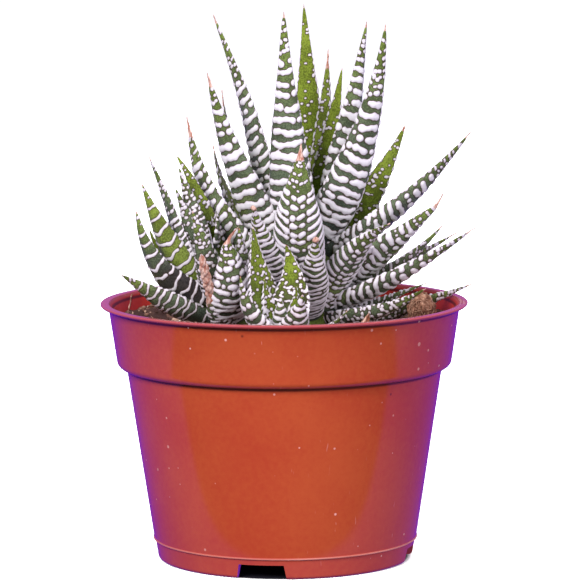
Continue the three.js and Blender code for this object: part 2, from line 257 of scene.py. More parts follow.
# -------- laying shader nodes
@dataclass
class NodeBench:
    """A hand for laying nodes in one tree and joining them."""

    tree: NodeTree

    def add(self, kind: str, **settings: object) -> Node:
        """Adds a node and sets its options.

        Args:
            kind: The node's type.
            settings: Options by name.

        Returns:
            The new node.
        """
        made = self.tree.nodes.new(kind)
        for name, value in settings.items():
            setattr(made, name, value)
        return made

    def feed(self, socket: Socket, value: object) -> None:
        """Joins a socket to another, or sets its value.

        Args:
            socket: The input that is fed.
            value: An output socket, a number, a vector or a colour.
        """
        if isinstance(value, Socket):
            self.tree.links.new(value, socket)
        else:
            socket.default_value = value

    def feed_named(self, node: Node, **values: object) -> None:
        """Feeds a node's inputs by their names, with _ for a space."""
        for name, value in values.items():
            self.feed(node.inputs[name.replace("_", " ")], value)

    def join(self, kind: str, *values: object, **settings: object) -> Node:
        """Adds a node and feeds its first inputs in order.

        Args:
            kind: The node's type.
            values: What its first inputs are fed.
            settings: Options by name.

        Returns:
            The new node.
        """
        made = self.add(kind, **settings)
        for socket, value in zip(made.inputs, values):
            self.feed(socket, value)
        return made

    def math(self, operation: str, first: object, second: object = 0.0, clamp: bool = False) -> Socket:
        """Returns the result of a sum; a clamped one stays between 0 and 1."""
        return self.join("ShaderNodeMath", first, second, operation=operation, use_clamp=clamp).outputs[0]

    def plus(self, first: object, second: object) -> Socket:
        """Returns the sum of two values."""
        return self.math("ADD", first, second)

    def times(self, first: object, second: object) -> Socket:
        """Returns the product of two values."""
        return self.math("MULTIPLY", first, second)

    def mix(self, share: object, first: object, second: object) -> Socket:
        """Returns a mix of two colours.

        Args:
            share: How much of the second there is.
            first: The first colour.
            second: The second colour.

        Returns:
            The mixed colour.
        """
        made = self.add("ShaderNodeMix", data_type="RGBA")
        self.feed(made.inputs[0], share)
        self.feed(made.inputs[6], first)
        self.feed(made.inputs[7], second)
        return made.outputs[2]

    def scaled(self, colour: Socket, share: Socket) -> Socket:
        """Returns a colour made lighter or darker by a value.

        Args:
            colour: The colour.
            share: What it is multiplied by.

        Returns:
            The scaled colour.
        """
        made = self.add("ShaderNodeVectorMath", operation="SCALE")
        self.feed(made.inputs[0], colour)
        self.feed(made.inputs["Scale"], share)
        return made.outputs[0]

    def shader(self, kind: str, *values: object) -> Socket:
        """Returns a shader of a kind, with its first inputs fed in order."""
        return self.join(kind, *values).outputs[0]

    def step(self, value: object, low: float, high: float) -> Socket:
        """Returns a soft step of a value, from 0 at low to 1 at high."""
        return self.join("ShaderNodeMapRange", value, low, high, interpolation_type="SMOOTHSTEP").outputs[0]

    def spread(self, value: object, low: float, high: float) -> Socket:
        """Returns a value between 0 and 1 spread from low to high."""
        return self.join("ShaderNodeMapRange", value, 0.0, 1.0, low, high).outputs[0]

    def noise(self, where: Socket, scale: object, detail: float = 2.0, roughness: float = 0.5) -> Socket:
        """Returns a cloudy value around 0.5.

        Args:
            where: The place that it is read at.
            scale: Clouds to a metre.
            detail: How many finer layers it has.
            roughness: How strong the finer layers are.

        Returns:
            The value.
        """
        made = self.add("ShaderNodeTexNoise")
        self.feed_named(made, Vector=where, Scale=scale, Detail=detail, Roughness=roughness)
        return made.outputs["Fac"]

    def streaks(self, where: Socket, scale: Triple, detail: float = 2.0, roughness: float = 0.5) -> Socket:
        """Returns a cloudy value with its own number of clouds to a metre along each axis."""
        stretched = self.join("ShaderNodeVectorMath", where, scale, operation="MULTIPLY")
        return self.noise(stretched.outputs[0], 1.0, detail, roughness)

    def stored(self, name: str) -> Socket:
        """Returns a value that is stored on the mesh under a name."""
        return self.add("ShaderNodeAttribute", attribute_name=name).outputs["Fac"]

    def place(self) -> Socket:
        """Returns the place on the object in metres."""
        return self.add("ShaderNodeTexCoord").outputs["Object"]

    def axis(self, where: Socket, number: int) -> Socket:
        """Returns one part of a place: 0 for x, 1 for y and 2 for z."""
        return self.join("ShaderNodeSeparateXYZ", where).outputs[number]

    def relief(self, height: Socket, distance: float, strength: float) -> Socket:
        """Returns a normal that shows a height.

        Args:
            height: The height between 0 and 1.
            distance: How far a height of 1 stands up, in metres.
            strength: How much of it shows.

        Returns:
            The normal.
        """
        made = self.add("ShaderNodeBump")
        self.feed_named(made, Height=height, Distance=distance, Strength=strength)
        return made.outputs["Normal"]

    def group(self, tree: NodeTree, **values: object) -> Socket:
        """Places a shared effect and feeds its named inputs.

        Args:
            tree: The effect's node group.
            values: Its inputs by name, with _ for a space.

        Returns:
            The effect's result.
        """
        made = self.add("ShaderNodeGroup", node_tree=tree)
        self.feed_named(made, **values)
        return made.outputs[0]


@dataclass
class Effects:
    """The shader effects that several finishes share, each built once."""

    grain: NodeTree = field(init=False)
    specks: NodeTree = field(init=False)

    def __post_init__(self) -> None:
        """Builds both effects."""
        self.grain = self._grain()
        self.specks = self._specks()

    @staticmethod
    def _tree(name: str, output: str, starts: dict[str, float]) -> tuple[NodeBench, Node, Socket]:
        """Starts a node group that reads a place and named values and gives one value.

        Args:
            name: The group's name.
            output: The output's name.
            starts: The starting value of each named input.

        Returns:
            The bench, the group's input node and the socket that takes the result.
        """
        tree = bpy.data.node_groups.new(name, "ShaderNodeTree")
        tree.interface.new_socket(name="Place", in_out="INPUT", socket_type="NodeSocketVector")
        for label, start in starts.items():
            socket = tree.interface.new_socket(name=label, in_out="INPUT", socket_type="NodeSocketFloat")
            socket.default_value = start
        tree.interface.new_socket(name=output, in_out="OUTPUT", socket_type="NodeSocketFloat")
        bench = NodeBench(tree)
        source = bench.add("NodeGroupInput")
        target = bench.add("NodeGroupOutput")
        return bench, source, target.inputs[0]

    def _grain(self) -> NodeTree:
        """Lays a two-scale mottle: broad clouds under fine grain.

        Returns:
            The node group.
        """
        starts = {"Broad": 100.0, "Fine": 1500.0, "Fine Share": 0.4}
        bench, source, target = self._tree("grain", "Value", starts)
        where = source.outputs["Place"]
        fine_share = source.outputs["Fine Share"]
        broad = bench.noise(where, source.outputs["Broad"], detail=3.0)
        fine = bench.noise(where, source.outputs["Fine"], roughness=0.6)
        rest = bench.math("SUBTRACT", 1.0, fine_share)
        bench.feed(target, bench.plus(bench.times(broad, rest), bench.times(fine, fine_share)))
        return bench.tree

    def _specks(self) -> NodeTree:
        """Lays scattered small specks, such as dust, as a mask.

        Returns:
            The node group.
        """
        starts = {"Scale": 300.0, "Share": 0.1, "Size": 0.2}
        bench, source, target = self._tree("specks", "Mask", starts)
        cells = bench.add("ShaderNodeTexVoronoi", feature="F1")
        bench.feed_named(cells, Vector=source.outputs["Place"], Scale=source.outputs["Scale"])
        chance = bench.join("ShaderNodeSeparateColor", cells.outputs["Color"])
        chosen = bench.math("LESS_THAN", chance.outputs[0], source.outputs["Share"])
        reach = bench.times(source.outputs["Size"], bench.spread(chance.outputs[1], low=0.4, high=1.0))
        inside = bench.math("SUBTRACT", reach, cells.outputs["Distance"])
        soft = bench.math("DIVIDE", inside, bench.times(reach, 0.4), clamp=True)
        bench.feed(target, bench.times(soft, chosen))
        return bench.tree


def new_finish(name: str) -> tuple[Material, NodeBench, Node]:
    """Starts a material with its Principled shader.

    Args:
        name: The material's name.

    Returns:
        The material, a bench for its nodes and the shader.
    """
    material = bpy.data.materials.new(name)
    material.use_nodes = True
    bench = NodeBench(material.node_tree)
    return material, bench, material.node_tree.nodes["Principled BSDF"]


# -------- finishes
@dataclass(frozen=True)
class PotFinish:
    """Glossy terracotta-coloured plastic with dust and scuffs, painted shade in the creases under the collar
    and the lip, a painted highlight along the ridge and a painted reflection on the lip (metres).
    """

    name: str = "pot_plastic"
    orange: Colour = rgb(184, 80, 47)
    deep: Colour = rgb(174, 64, 42)
    # The pale colour of dust and scuffs, also used for the painted highlight along the ridge.
    dust_and_highlight: Colour = rgb(236, 182, 176)
    dirt: Colour = rgb(92, 40, 34)
    # Painted shade: the dark colour laid in the creases under the collar and under the lip.
    crease_shade: Colour = rgb(58, 26, 30)
    # Painted reflection: the pinkish violet that the lip's top mirrors from the room.
    lip_reflection: Colour = rgb(170, 76, 82)
    lip_from: float = 0.0727
    lip_fade: float = 0.0005
    sheen: float = 0.5
    refraction: float = 1.5
    ridge_height: float = 0.0060
    ridge_reach: float = 0.0004
    # Heights and reaches of the painted shade under the collar and under the lip.
    corners: Pairs = ((0.0550, 0.0009), (0.0722, 0.0006))
    roughness: float = 0.12
    scuff_clouds: Triple = (900.0, 900.0, 60.0)
    scuff_strength: float = 0.35
    ridge_highlight: float = 0.5
    dirt_strength: float = 0.7
    crease_shade_strength: float = 0.8
    lip_reflection_strength: float = 0.85

    def material(self, effects: Effects) -> Material:
        """Returns the pot's material.

        Args:
            effects: The shared shader effects.

        Returns:
            The material.
        """
        material, bench, shader = new_finish(self.name)
        where = bench.place()
        height = bench.axis(where, 2)
        pale = self._pale(bench, effects, where, height)
        mottle = bench.group(effects.grain, Place=where, Broad=30.0, Fine=700.0, Fine_Share=0.3)
        colour = bench.mix(bench.step(mottle, low=0.3, high=0.7), self.deep, self.orange)
        dark_specks = bench.group(effects.specks, Place=where, Scale=170.0, Share=0.04, Size=0.13)
        colour = bench.mix(bench.times(dark_specks, self.dirt_strength), colour, self.dirt)
        # Painted shade: darkens the plastic in the creases under the collar and under the lip, where shadow
        # falls.
        for level, reach in self.corners:
            corner = self._near(bench, height, level, reach)
            colour = bench.mix(bench.times(corner, self.crease_shade_strength), colour, self.crease_shade)
        # Painted reflection: tints the lip's top pinkish violet, the colour that it mirrors from the room.
        lip = bench.step(height, self.lip_from, self.lip_from + self.lip_fade)
        colour = bench.mix(bench.times(lip, self.lip_reflection_strength), colour, self.lip_reflection)
        film = bench.noise(where, scale=70.0, detail=4.0, roughness=0.65)
        film = bench.spread(film, low=self.roughness - 0.03, high=self.roughness + 0.06)
        ripple = bench.noise(where, scale=60.0)
        grit = bench.plus(bench.times(pale, 0.6), bench.times(ripple, 0.4))
        bench.feed_named(
            shader, Base_Color=bench.mix(pale, colour, self.dust_and_highlight), Roughness=bench.plus(film, pale),
            IOR=self.refraction, Specular_IOR_Level=self.sheen,
            Normal=bench.relief(grit, distance=0.0001, strength=0.4),
        )
        return material

    def _pale(self, bench: NodeBench, effects: Effects, where: Socket, height: Socket) -> Socket:
        """Lays dust in two sizes, upright scuffs and a painted highlight along the ridge, stronger in
        patches.

        Args:
            bench: The bench that the nodes are laid on.
            effects: The shared shader effects.
            where: The place on the pot.
            height: The place's height.

        Returns:
            How pale the place is, from 0 to 1.
        """
        fine_dust = bench.group(effects.specks, Place=where, Scale=300.0, Share=0.26, Size=0.16)
        coarse_dust = bench.group(effects.specks, Place=where, Scale=110.0, Share=0.14, Size=0.11)
        patches = bench.step(bench.noise(where, scale=26.0), low=0.5, high=0.7)
        dust_share = bench.spread(patches, low=0.5, high=1.0)
        scuffs = bench.streaks(where, self.scuff_clouds, roughness=0.6)
        scuffs = bench.times(bench.step(scuffs, low=0.69, high=0.76), patches)
        # Painted highlight: a thin pale line along the ridge, where light catches it.
        ridge = bench.times(self._near(bench, height, self.ridge_height, self.ridge_reach), self.ridge_highlight)
        pale = bench.times(bench.math("MAXIMUM", fine_dust, coarse_dust), dust_share)
        pale = bench.math("MAXIMUM", pale, bench.times(scuffs, self.scuff_strength))
        return bench.math("MAXIMUM", pale, bench.times(ridge, dust_share), clamp=True)

    @staticmethod
    def _near(bench: NodeBench, height: Socket, level: float, reach: float) -> Socket:
        """Returns a mask that is 1 at a level on the pot and fades out before a reach."""
        off = bench.math("ABSOLUTE", bench.math("SUBTRACT", height, level))
        return bench.step(off, low=reach, high=0.25 * reach)


@dataclass(frozen=True)
class LeafFinish:
    """Succulent leaf skin: green flesh, raised white warts ringed with brown that is partly painted shadow,
    dried tips.
    """

    back_dark: Colour = rgb(66, 74, 70)
    back: Colour = rgb(90, 102, 80)
    back_tip: Colour = rgb(108, 126, 58)
    # near_black and bright carry how light or dark each leaf is, partly its own colour and partly painted
    # light and shade; bright also colours random patches.
    near_black: Colour = rgb(54, 48, 50)
    bright: Colour = rgb(118, 134, 52)
    inner: Colour = rgb(88, 108, 24)
    inner_bright: Colour = rgb(116, 132, 46)
    wart: Colour = rgb(233, 229, 238)
    # Painted shade: the greyer white towards each wart's edge.
    wart_shade: Colour = rgb(220, 212, 222)
    # Partly the warts' real brown fringe, partly painted shadow under their raised edges.
    rim_and_shadow: Colour = rgb(72, 56, 48)
    dried: Colour = rgb(222, 190, 178)
    dried_dark: Colour = rgb(172, 112, 94)
    patch_strength: float = 0.4
    rim_and_shadow_strength: float = 0.85
    streak_clouds: Triple = (1500.0, 1500.0, 250.0)
    wart_height: float = 0.4
    pore_height: float = 0.5
    crust_height: float = 0.8
    dried_roughness: float = 0.35
    sheen: float = 0.26
    refraction: float = 1.4

    def material(self, effects: Effects) -> Material:
        """Returns the leaves' material, which reads the values stored by the leaf builder.

        Args:
            effects: The shared shader effects.

        Returns:
            The material.
        """
        material, bench, shader = new_finish("leaf_skin")
        where = bench.place()
        cloud = bench.group(effects.grain, Place=where, Broad=170.0, Fine=2300.0, Fine_Share=0.6)
        ragged_edge = bench.spread(bench.noise(where, scale=1500.0, detail=1.0), low=0.06, high=-0.06)
        edge = bench.plus(bench.stored("mark"), ragged_edge)
        wart = bench.step(edge, low=0.11, high=0.0)
        # Painted shadow: the dark ring round each wart, partly its real brown fringe and partly the shadow of
        # its raised edge.
        rim_and_shadow = bench.times(bench.step(edge, low=0.4, high=0.16), self.rim_and_shadow_strength)
        # Painted shade: each wart is whitest in its middle and greyer towards its edge.
        white = bench.mix(bench.step(edge, low=-0.45, high=-0.05), self.wart, self.wart_shade)
        white = bench.scaled(white, bench.spread(bench.step(cloud, low=0.3, high=0.7), low=0.93, high=1.02))
        colour = bench.mix(rim_and_shadow, self._flesh(bench, where, cloud), self.rim_and_shadow)
        colour = bench.mix(wart, colour, white)
        streak = bench.streaks(where, self.streak_clouds, detail=3.0, roughness=0.6)
        husk = bench.mix(bench.step(streak, low=0.35, high=0.62), self.dried_dark, self.dried)
        ragged = bench.spread(bench.noise(where, scale=700.0), low=-0.3, high=0.3)
        withered = bench.step(bench.plus(bench.stored("dry"), ragged), low=0.35, high=0.6)
        rough = bench.times(withered, self.dried_roughness)
        rough = bench.plus(bench.spread(wart, low=0.42, high=0.5), rough)
        pores = bench.times(cloud, self.pore_height)
        crust = bench.times(bench.times(streak, withered), self.crust_height)
        height = bench.plus(bench.plus(bench.times(wart, self.wart_height), pores), crust)
        bench.feed_named(
            shader, Base_Color=bench.mix(withered, colour, husk), Roughness=rough,
            IOR=self.refraction, Specular_IOR_Level=self.sheen,
            Normal=bench.relief(height, distance=0.00022, strength=0.7),
        )
        return material

    def _flesh(self, bench: NodeBench, where: Socket, cloud: Socket) -> Socket:
        """Colours the flesh: the back from base to tip, the inner face, and how light or dark each leaf is,
        partly its own colour and partly painted light and shade.

        Args:
            bench: The bench that the nodes are laid on.
            where: The place on the leaf.
            cloud: A fine mottle.

        Returns:
            The flesh's colour.
        """
        along = bench.stored("along")
        tone = bench.stored("tone")
        back = bench.mix(bench.step(along, low=0.0, high=0.45), self.back_dark, self.back)
        back = bench.mix(bench.step(along, low=0.5, high=0.95), back, self.back_tip)
        face = bench.mix(bench.step(along, low=0.1, high=0.8), self.inner, self.inner_bright)
        flesh = bench.mix(bench.stored("inner"), back, face)
        # Painted light and shade: lightens some leaves towards bright green and darkens others towards near
        # black, partly their own colour.
        flesh = bench.mix(bench.step(tone, low=0.0, high=1.0), flesh, self.bright)
        flesh = bench.mix(bench.step(tone, low=0.0, high=-1.0), flesh, self.near_black)
        patch = bench.step(bench.noise(where, scale=75.0), low=0.56, high=0.74)
        flesh = bench.mix(bench.times(patch, self.patch_strength), flesh, self.bright)
        shade = bench.spread(bench.step(cloud, low=0.41, high=0.6), low=0.58, high=1.3)
        return bench.scaled(flesh, shade)


@dataclass(frozen=True)
class SoilFinish:
    """Damp peat compost: dark and warm browns, tan bark and white perlite, chosen crumb by crumb."""

    name: str
    dark: Colour = rgb(72, 52, 46)
    brown: Colour = rgb(130, 96, 82)
    tan: Colour = rgb(190, 156, 138)
    white: Colour = rgb(222, 212, 200)
    grain_strength: float = 0.7
    sheen: float = 0.2

    def material(self, effects: Effects) -> Material:
        """Returns the soil's material, which reads each crumb's stored kind.

        Args:
            effects: The shared shader effects.

        Returns:
            The material.
        """
        material, bench, shader = new_finish(self.name)
        where = bench.place()
        mottle = bench.group(effects.grain, Place=where, Broad=700.0, Fine=3500.0, Fine_Share=0.5)
        kind = bench.plus(bench.stored("kind"), bench.spread(mottle, low=-0.16, high=0.16))
        colour = bench.mix(bench.step(kind, low=0.1, high=0.5), self.dark, self.brown)
        colour = bench.mix(bench.step(kind, low=0.5, high=0.85), colour, self.tan)
        colour = bench.mix(bench.step(kind, low=0.92, high=0.98), colour, self.white)
        grains = bench.group(effects.specks, Place=where, Scale=900.0, Share=0.1, Size=0.35)
        bench.feed_named(
            shader, Base_Color=bench.mix(bench.times(grains, self.grain_strength), colour, self.tan),
            Roughness=bench.spread(mottle, low=0.75, high=1.0), Specular_IOR_Level=self.sheen,
            Normal=bench.relief(mottle, distance=0.0004, strength=0.9),
        )
        return material


@dataclass(frozen=True)
class HuskFinish:
    """Papery dried plant skin with streaks along it."""

    pale: Colour = rgb(226, 186, 170)
    brown: Colour = rgb(150, 96, 72)
    streak_clouds: Triple = (1800.0, 1800.0, 220.0)

    def material(self, effects: Effects) -> Material:
        """Returns the husk's material.

        Args:
            effects: The shared shader effects.

        Returns:
            The material.
        """
        material, bench, shader = new_finish("dried_husk")
        where = bench.place()
        mottle = bench.group(effects.grain, Place=where, Broad=260.0, Fine=2400.0, Fine_Share=0.4)
        streak = bench.streaks(where, self.streak_clouds)
        both = bench.times(bench.plus(mottle, streak), 0.5)
        bench.feed_named(
            shader, Base_Color=bench.mix(bench.step(both, low=0.4, high=0.56), self.brown, self.pale),
            Roughness=bench.spread(streak, low=0.6, high=0.9),
            Normal=bench.relief(both, distance=0.0003, strength=0.8),
        )
        return material


# -------- studio
@dataclass(frozen=True)
class SoftLight:
    """One square soft light that glossy skins don't mirror (metres and watts)."""

    name: str
    stand: Triple
    size: float
    power: float
    colour: Triple

    def hang(self, aim: Vector) -> None:
        """Hangs the light.

        Args:
            aim: What it points at.
        """
        lamp = bpy.data.lights.new(self.name, "AREA")
        lamp.size = self.size
        lamp.energy = self.power
        lamp.color = self.colour
        light = bpy.data.objects.new(self.name, lamp)
        bpy.context.scene.collection.objects.link(light)
        stand = Vector(self.stand)
        light.location = stand
        light.rotation_mode = "QUATERNION"
        light.rotation_quaternion = (aim - stand).to_track_quat("-Z", "Y")
        light.visible_glossy = False


@dataclass
class Studio:
    """Pale floor, soft light and the camera (metres, degrees and pixels)."""

    aim: Vector = field(default_factory=lambda: Vector((0.0, 0.0, 0.060)))
    distance: float = 1.150
    elevation: float = 8.07
    roll: float = 0.302
    focal_pixels: float = 4020.0
    picture_pixels: float = 580.0
    aside_pixels: float = 5.65
    above_pixels: float = 58.76
    sensor: float = 36.0
    nearest: float = 0.01
    furthest: float = 50.0
    floor_reach: float = 12.0
    foot_radii: Pair = (0.0345, 0.0365)
    sheen_from: Pair = (-0.050, -0.044)
    paper: Colour = (1.9, 1.9, 1.92, 1.0)
    paper_glow: Colour = (0.14, 0.14, 0.13, 1.0)
    # Painted shade: the floor's colour inside the pot's foot ring.
    shade_under_pot: Colour = (0.02, 0.02, 0.03, 1.0)
    bounce: Colour = (0.16, 0.14, 0.2, 1.0)
    sheen_front: Colour = (0.01, 0.01, 0.012, 1.0)
    sheen_back: Colour = (0.17, 0.02, 0.72, 1.0)
    room: Colour = (0.46, 0.45, 0.50, 1.0)
    glossy_room: Colour = (0.32, 0.13, 0.58, 1.0)
    white: Colour = (1.0, 1.0, 1.0, 1.0)
    black: Colour = (0.0, 0.0, 0.0, 1.0)
    lit_height: float = 0.09
    lights: tuple[SoftLight, ...] = (
        SoftLight("key_light", (-0.55, -0.95, 0.75), 0.5, 17.5, (1.0, 0.98, 0.96)),
        SoftLight("fill_light", (0.8, -0.8, 0.35), 0.8, 7.0, (0.98, 0.96, 1.0)),
        SoftLight("back_light", (0.4, 1.1, 0.6), 0.8, 6.0, (0.98, 0.98, 1.0)),
        SoftLight("top_light", (0.1, 0.3, 1.2), 0.9, 5.5, (1.0, 0.99, 1.0)),
    )

    def build(self) -> None:
        """Makes the floor, the room, the lights and the camera."""
        bpy.context.scene.view_settings.view_transform = "Standard"
        self._floor()
        self._world()
        for light in self.lights:
            light.hang(Vector((0.0, 0.0, self.lit_height)))
        self._camera()

    def _camera(self) -> None:
        """Stands the camera in front of the pot, a little above it."""
        tilt = math.radians(self.elevation)
        back = Vector((0.0, -math.cos(tilt), math.sin(tilt)))
        ahead = -back
        right = ahead.cross(Vector((0.0, 0.0, 1.0))).normalized()
        above = right.cross(ahead)
        turn = Matrix.Rotation(math.radians(self.roll), 3, ahead)
        right = turn @ right
        above = turn @ above
        sight = ahead * self.focal_pixels + right * self.aside_pixels + above * self.above_pixels
        sight.normalize()
        right = sight.cross(above).normalized()
        above = right.cross(sight)
        stand = Matrix((right, above, -sight)).transposed().to_4x4()
        stand.translation = self.aim + back * self.distance
        lens = bpy.data.cameras.new("camera")
        lens.sensor_width = self.sensor
        lens.lens = self.sensor * self.focal_pixels / self.picture_pixels
        lens.clip_start = self.nearest
        lens.clip_end = self.furthest
        camera = bpy.data.objects.new("camera", lens)
        bpy.context.scene.collection.objects.link(camera)
        camera.matrix_world = stand
        bpy.context.scene.camera = camera

    def _floor(self) -> None:
        """Lays a plain white floor, painted dark under the pot as shade; to glossy rays only it glows violet
        behind the pot and near black in front, which the pot's glossy sides mirror.
        """
        reach = self.floor_reach / MM
        turns = ((-1.0, -1.0), (1.0, -1.0), (1.0, 1.0), (-1.0, 1.0))
        corners = np.array([(x * reach, y * reach, 0.0) for x, y in turns])
        floor = new_object("floor", corners, [(0, 1, 2, 3)])
        material = bpy.data.materials.new("floor_paper")
        material.use_nodes = True
        material.node_tree.nodes.remove(material.node_tree.nodes["Principled BSDF"])
        bench = NodeBench(material.node_tree)
        rays = bench.add("ShaderNodeLightPath")
        where = bench.add("ShaderNodeNewGeometry").outputs["Position"]
        away = bench.join("ShaderNodeVectorMath", where, operation="LENGTH")
        open_floor = bench.step(away.outputs["Value"], *self.foot_radii)
        behind = bench.step(bench.axis(where, 1), *self.sheen_from)
        # Painted shade: inside the foot ring the floor is near black and does not glow, where the pot's
        # shadow lies.
        paper = bench.shader("ShaderNodeBsdfDiffuse", bench.mix(open_floor, self.shade_under_pot, self.paper))
        glow = bench.shader("ShaderNodeEmission", bench.mix(open_floor, self.black, self.paper_glow))
        # To glossy rays only, the floor glows violet behind the pot and near black in front.
        sheen = bench.shader("ShaderNodeEmission", bench.mix(behind, self.sheen_front, self.sheen_back))
        bounce = bench.shader("ShaderNodeBsdfDiffuse", self.bounce)
        unseen = bench.shader("ShaderNodeMixShader", rays.outputs["Is Glossy Ray"], bounce, sheen)
        lit = bench.shader("ShaderNodeAddShader", paper, glow)
        seen = bench.shader("ShaderNodeMixShader", rays.outputs["Is Camera Ray"], unseen, lit)
        bench.feed(bench.tree.nodes["Material Output"].inputs["Surface"], seen)
        floor.data.materials.append(material)

    def _world(self) -> None:
        """Fills the room with soft pale light, and shows glossy skins a violet one."""
        world = bpy.data.worlds.new("room")
        bpy.context.scene.world = world
        world.use_nodes = True
        bench = NodeBench(world.node_tree)
        rays = bench.add("ShaderNodeLightPath")
        colour = bench.mix(rays.outputs["Is Glossy Ray"], self.room, self.glossy_room)
        colour = bench.mix(rays.outputs["Is Camera Ray"], colour, self.white)
        bench.feed(world.node_tree.nodes["Background"].inputs["Color"], colour)


# -------- pot
@dataclass
class Pot:
    """The nursery pot: a tapering wall with a collar, a rolled lip, a foot ring and drain holes (mm)."""

    finish: Material
    inside: Material
    rim_radius: float = 52.45
    height: float = 73.7
    lip_thickness: float = 0.8
    lip_rounding: float = 0.35
    lip_width: float = 2.5
    lip_underside: float = 72.2
    lip_flare: Pair = (1.3, 0.3)
    wall: float = 1.3
    collar_top_radius: float = 50.1
    collar_foot_radius: float = 47.9
    collar_foot_height: float = 55.2
    collar_corner: float = 2.2
    collar_crease: Pairs = ((-0.1, -0.8), (0.0, -0.2), (0.25, 0.0))
    lip_crease: Pairs = ((-0.05, -0.4), (0.25, 0.2))
    body_top_radius: float = 45.1
    body_foot_radius: float = 37.7
    inner_crease: float = 0.3
    ridge_height: float = 6.0
    ridge_proud: float = 0.35
    ridge_section: Pairs = ((-1.0, -1.0), (-0.2, -0.75), (0.6, -0.3), (0.6, 0.3), (0.0, 1.0))
    foot_outer_radius: float = 36.6
    foot_inner_radius: float = 33.6
    foot_rounding: float = 1.2
    foot_draft: float = 0.5
    floor_underside: float = 4.6
    floor_top: float = 6.2
    floor_corner: float = 1.5
    notch_count: int = 4
    notch_width: float = 14.6
    notch_height: float = 4.2
    notch_slope: float = 0.9
    notch_reach: float = 8.0
    notch_turn: float = -10.7
    cut_past: float = 1.0
    drain_count: int = 8
    drain_radius: float = 3.2
    drain_circle_radius: float = 24.0
    drain_segments: int = 40
    segments: int = 320
    weld: float = 0.0001
    sharp_from: float = 38.0

    @staticmethod
    def _arc(centre: Pair, radius: float, start: float, end: float, steps: int) -> Outline:
        """Returns an arc's points in equal steps, from a start to an end in degrees."""
        angles = np.radians(np.linspace(start, end, steps + 1))
        return [(centre[0] + radius * math.cos(turn), centre[1] + radius * math.sin(turn)) for turn in angles]

    def inner_radius(self, height: float) -> float:
        """Returns the inner wall's radius at a height.

        Args:
            height: The height.

        Returns:
            The radius.
        """
        corner_top = self.collar_foot_height + self.collar_corner
        heights = [self.floor_top, self.collar_foot_height, corner_top, self.lip_underside]
        radii = [
            self.body_foot_radius - self.wall,
            self.body_top_radius - self.wall,
            self.collar_foot_radius - self.wall,
            self.collar_top_radius - self.wall,
        ]
        return float(np.interp(height, heights, radii))

    def _outside(self) -> Outline:
        """Lays the outline from the foot ring up to the lip's underside.

        Returns:
            Its points.
        """
        ridge = self.ridge_proud
        foot = self.body_foot_radius
        corner = self.collar_corner
        corner_centre = (self.collar_foot_radius - corner, self.collar_foot_height + corner)
        rounding = self.foot_rounding
        return [
            (self.foot_inner_radius, 0.0),
            *self._arc((self.foot_outer_radius - rounding, rounding), rounding, -90, 0, 6),
            *((foot + out * ridge, self.ridge_height + up * ridge) for out, up in self.ridge_section),
            *((self.body_top_radius + out, self.collar_foot_height + up) for out, up in self.collar_crease),
            *self._arc(corner_centre, corner, -85, -4, 10),
            *((self.collar_top_radius + out, self.lip_underside + up) for out, up in self.lip_crease),
        ]

    def _lip(self) -> Outline:
        """Lays the outline round the lip, from its underside to its inner edge.

        Returns:
            Its points.
        """
        rounded = self.lip_rounding
        underside = self.height - self.lip_thickness
        level = self.height - rounded
        out, down = self.lip_flare
        return [
            (self.rim_radius - out, underside - down),
            (self.rim_radius - rounded, underside),
            *self._arc((self.rim_radius - rounded, level), rounded, -60, 90, 8),
            (self.rim_radius - 0.5 * self.lip_width, self.height),
            *self._arc((self.rim_radius - self.lip_width + rounded, level), rounded, 90, 165, 5),
        ]

    def _inside(self) -> Outline:
        """Lays the outline down the inner wall, over the floor and back under it.

        Returns:
            Its points.
        """
        body_foot = self.body_foot_radius - self.wall
        body_top = self.body_top_radius - self.wall
        return [
            (self.collar_top_radius - self.wall, self.lip_underside),
            (self.collar_foot_radius - self.wall, self.collar_foot_height + self.collar_corner),
            (body_top + self.inner_crease, self.collar_foot_height),
            (body_top, self.collar_foot_height - self.wall / 3.0),
            (body_foot, self.floor_top + self.floor_corner),
            (body_foot - self.floor_corner, self.floor_top),
            (0.0, self.floor_top),
            (0.0, self.floor_underside),
            (self.foot_inner_radius - self.foot_draft, self.floor_underside),
        ]

    def _turned(self) -> Piece:
        """Turns the outline about the pot's axis.

        Returns:
            The pot before its openings are cut.
        """
        outline = np.array([*self._outside(), *self._lip(), *self._inside()])
        turn = ring_angles(self.segments)
        radii, heights = outline[:, None, 0], outline[:, None, 1]
        level = np.broadcast_to(heights, (len(outline), self.segments))
        rings = np.stack([radii * np.cos(turn), radii * np.sin(turn), level], axis=-1)
        rings = np.concatenate([rings, rings[:1]])
        made = new_object("pot_shell", rings.reshape(-1, 3), ring_faces(len(rings), self.segments))
        shape = bmesh.new()
        shape.from_mesh(made.data)
        bmesh.ops.remove_doubles(shape, verts=shape.verts, dist=self.weld * MM)
        bmesh.ops.recalc_face_normals(shape, faces=shape.faces)
        shape.to_mesh(made.data)
        shape.free()
        return made

    def _notches(self, shape: bmesh.types.BMesh) -> None:
        """Adds a solid for each notch of the foot ring.

        Args:
            shape: The mesh that the solids are added to.
        """
        half = self.notch_width / 2.0
        narrow = half - self.notch_slope
        near = self.body_foot_radius + self.cut_past
        far = near - self.notch_reach
        foot, top = -self.cut_past, self.notch_height
        corners = [(-half, foot), (half, foot), (narrow, top), (-narrow, top)]
        for index in range(self.notch_count):
            turn = Matrix.Rotation(math.radians(self.notch_turn + 360.0 * index / self.notch_count), 3, "Z")
            front, back = (
                [shape.verts.new(turn @ Vector((x, -depth, z)) * MM) for x, z in corners]
                for depth in (near, far)
            )
            shape.faces.new(front)
            shape.faces.new(reversed(back))
            for side in range(4):
                after = (side + 1) % 4
                shape.faces.new((front[after], front[side], back[side], back[after]))

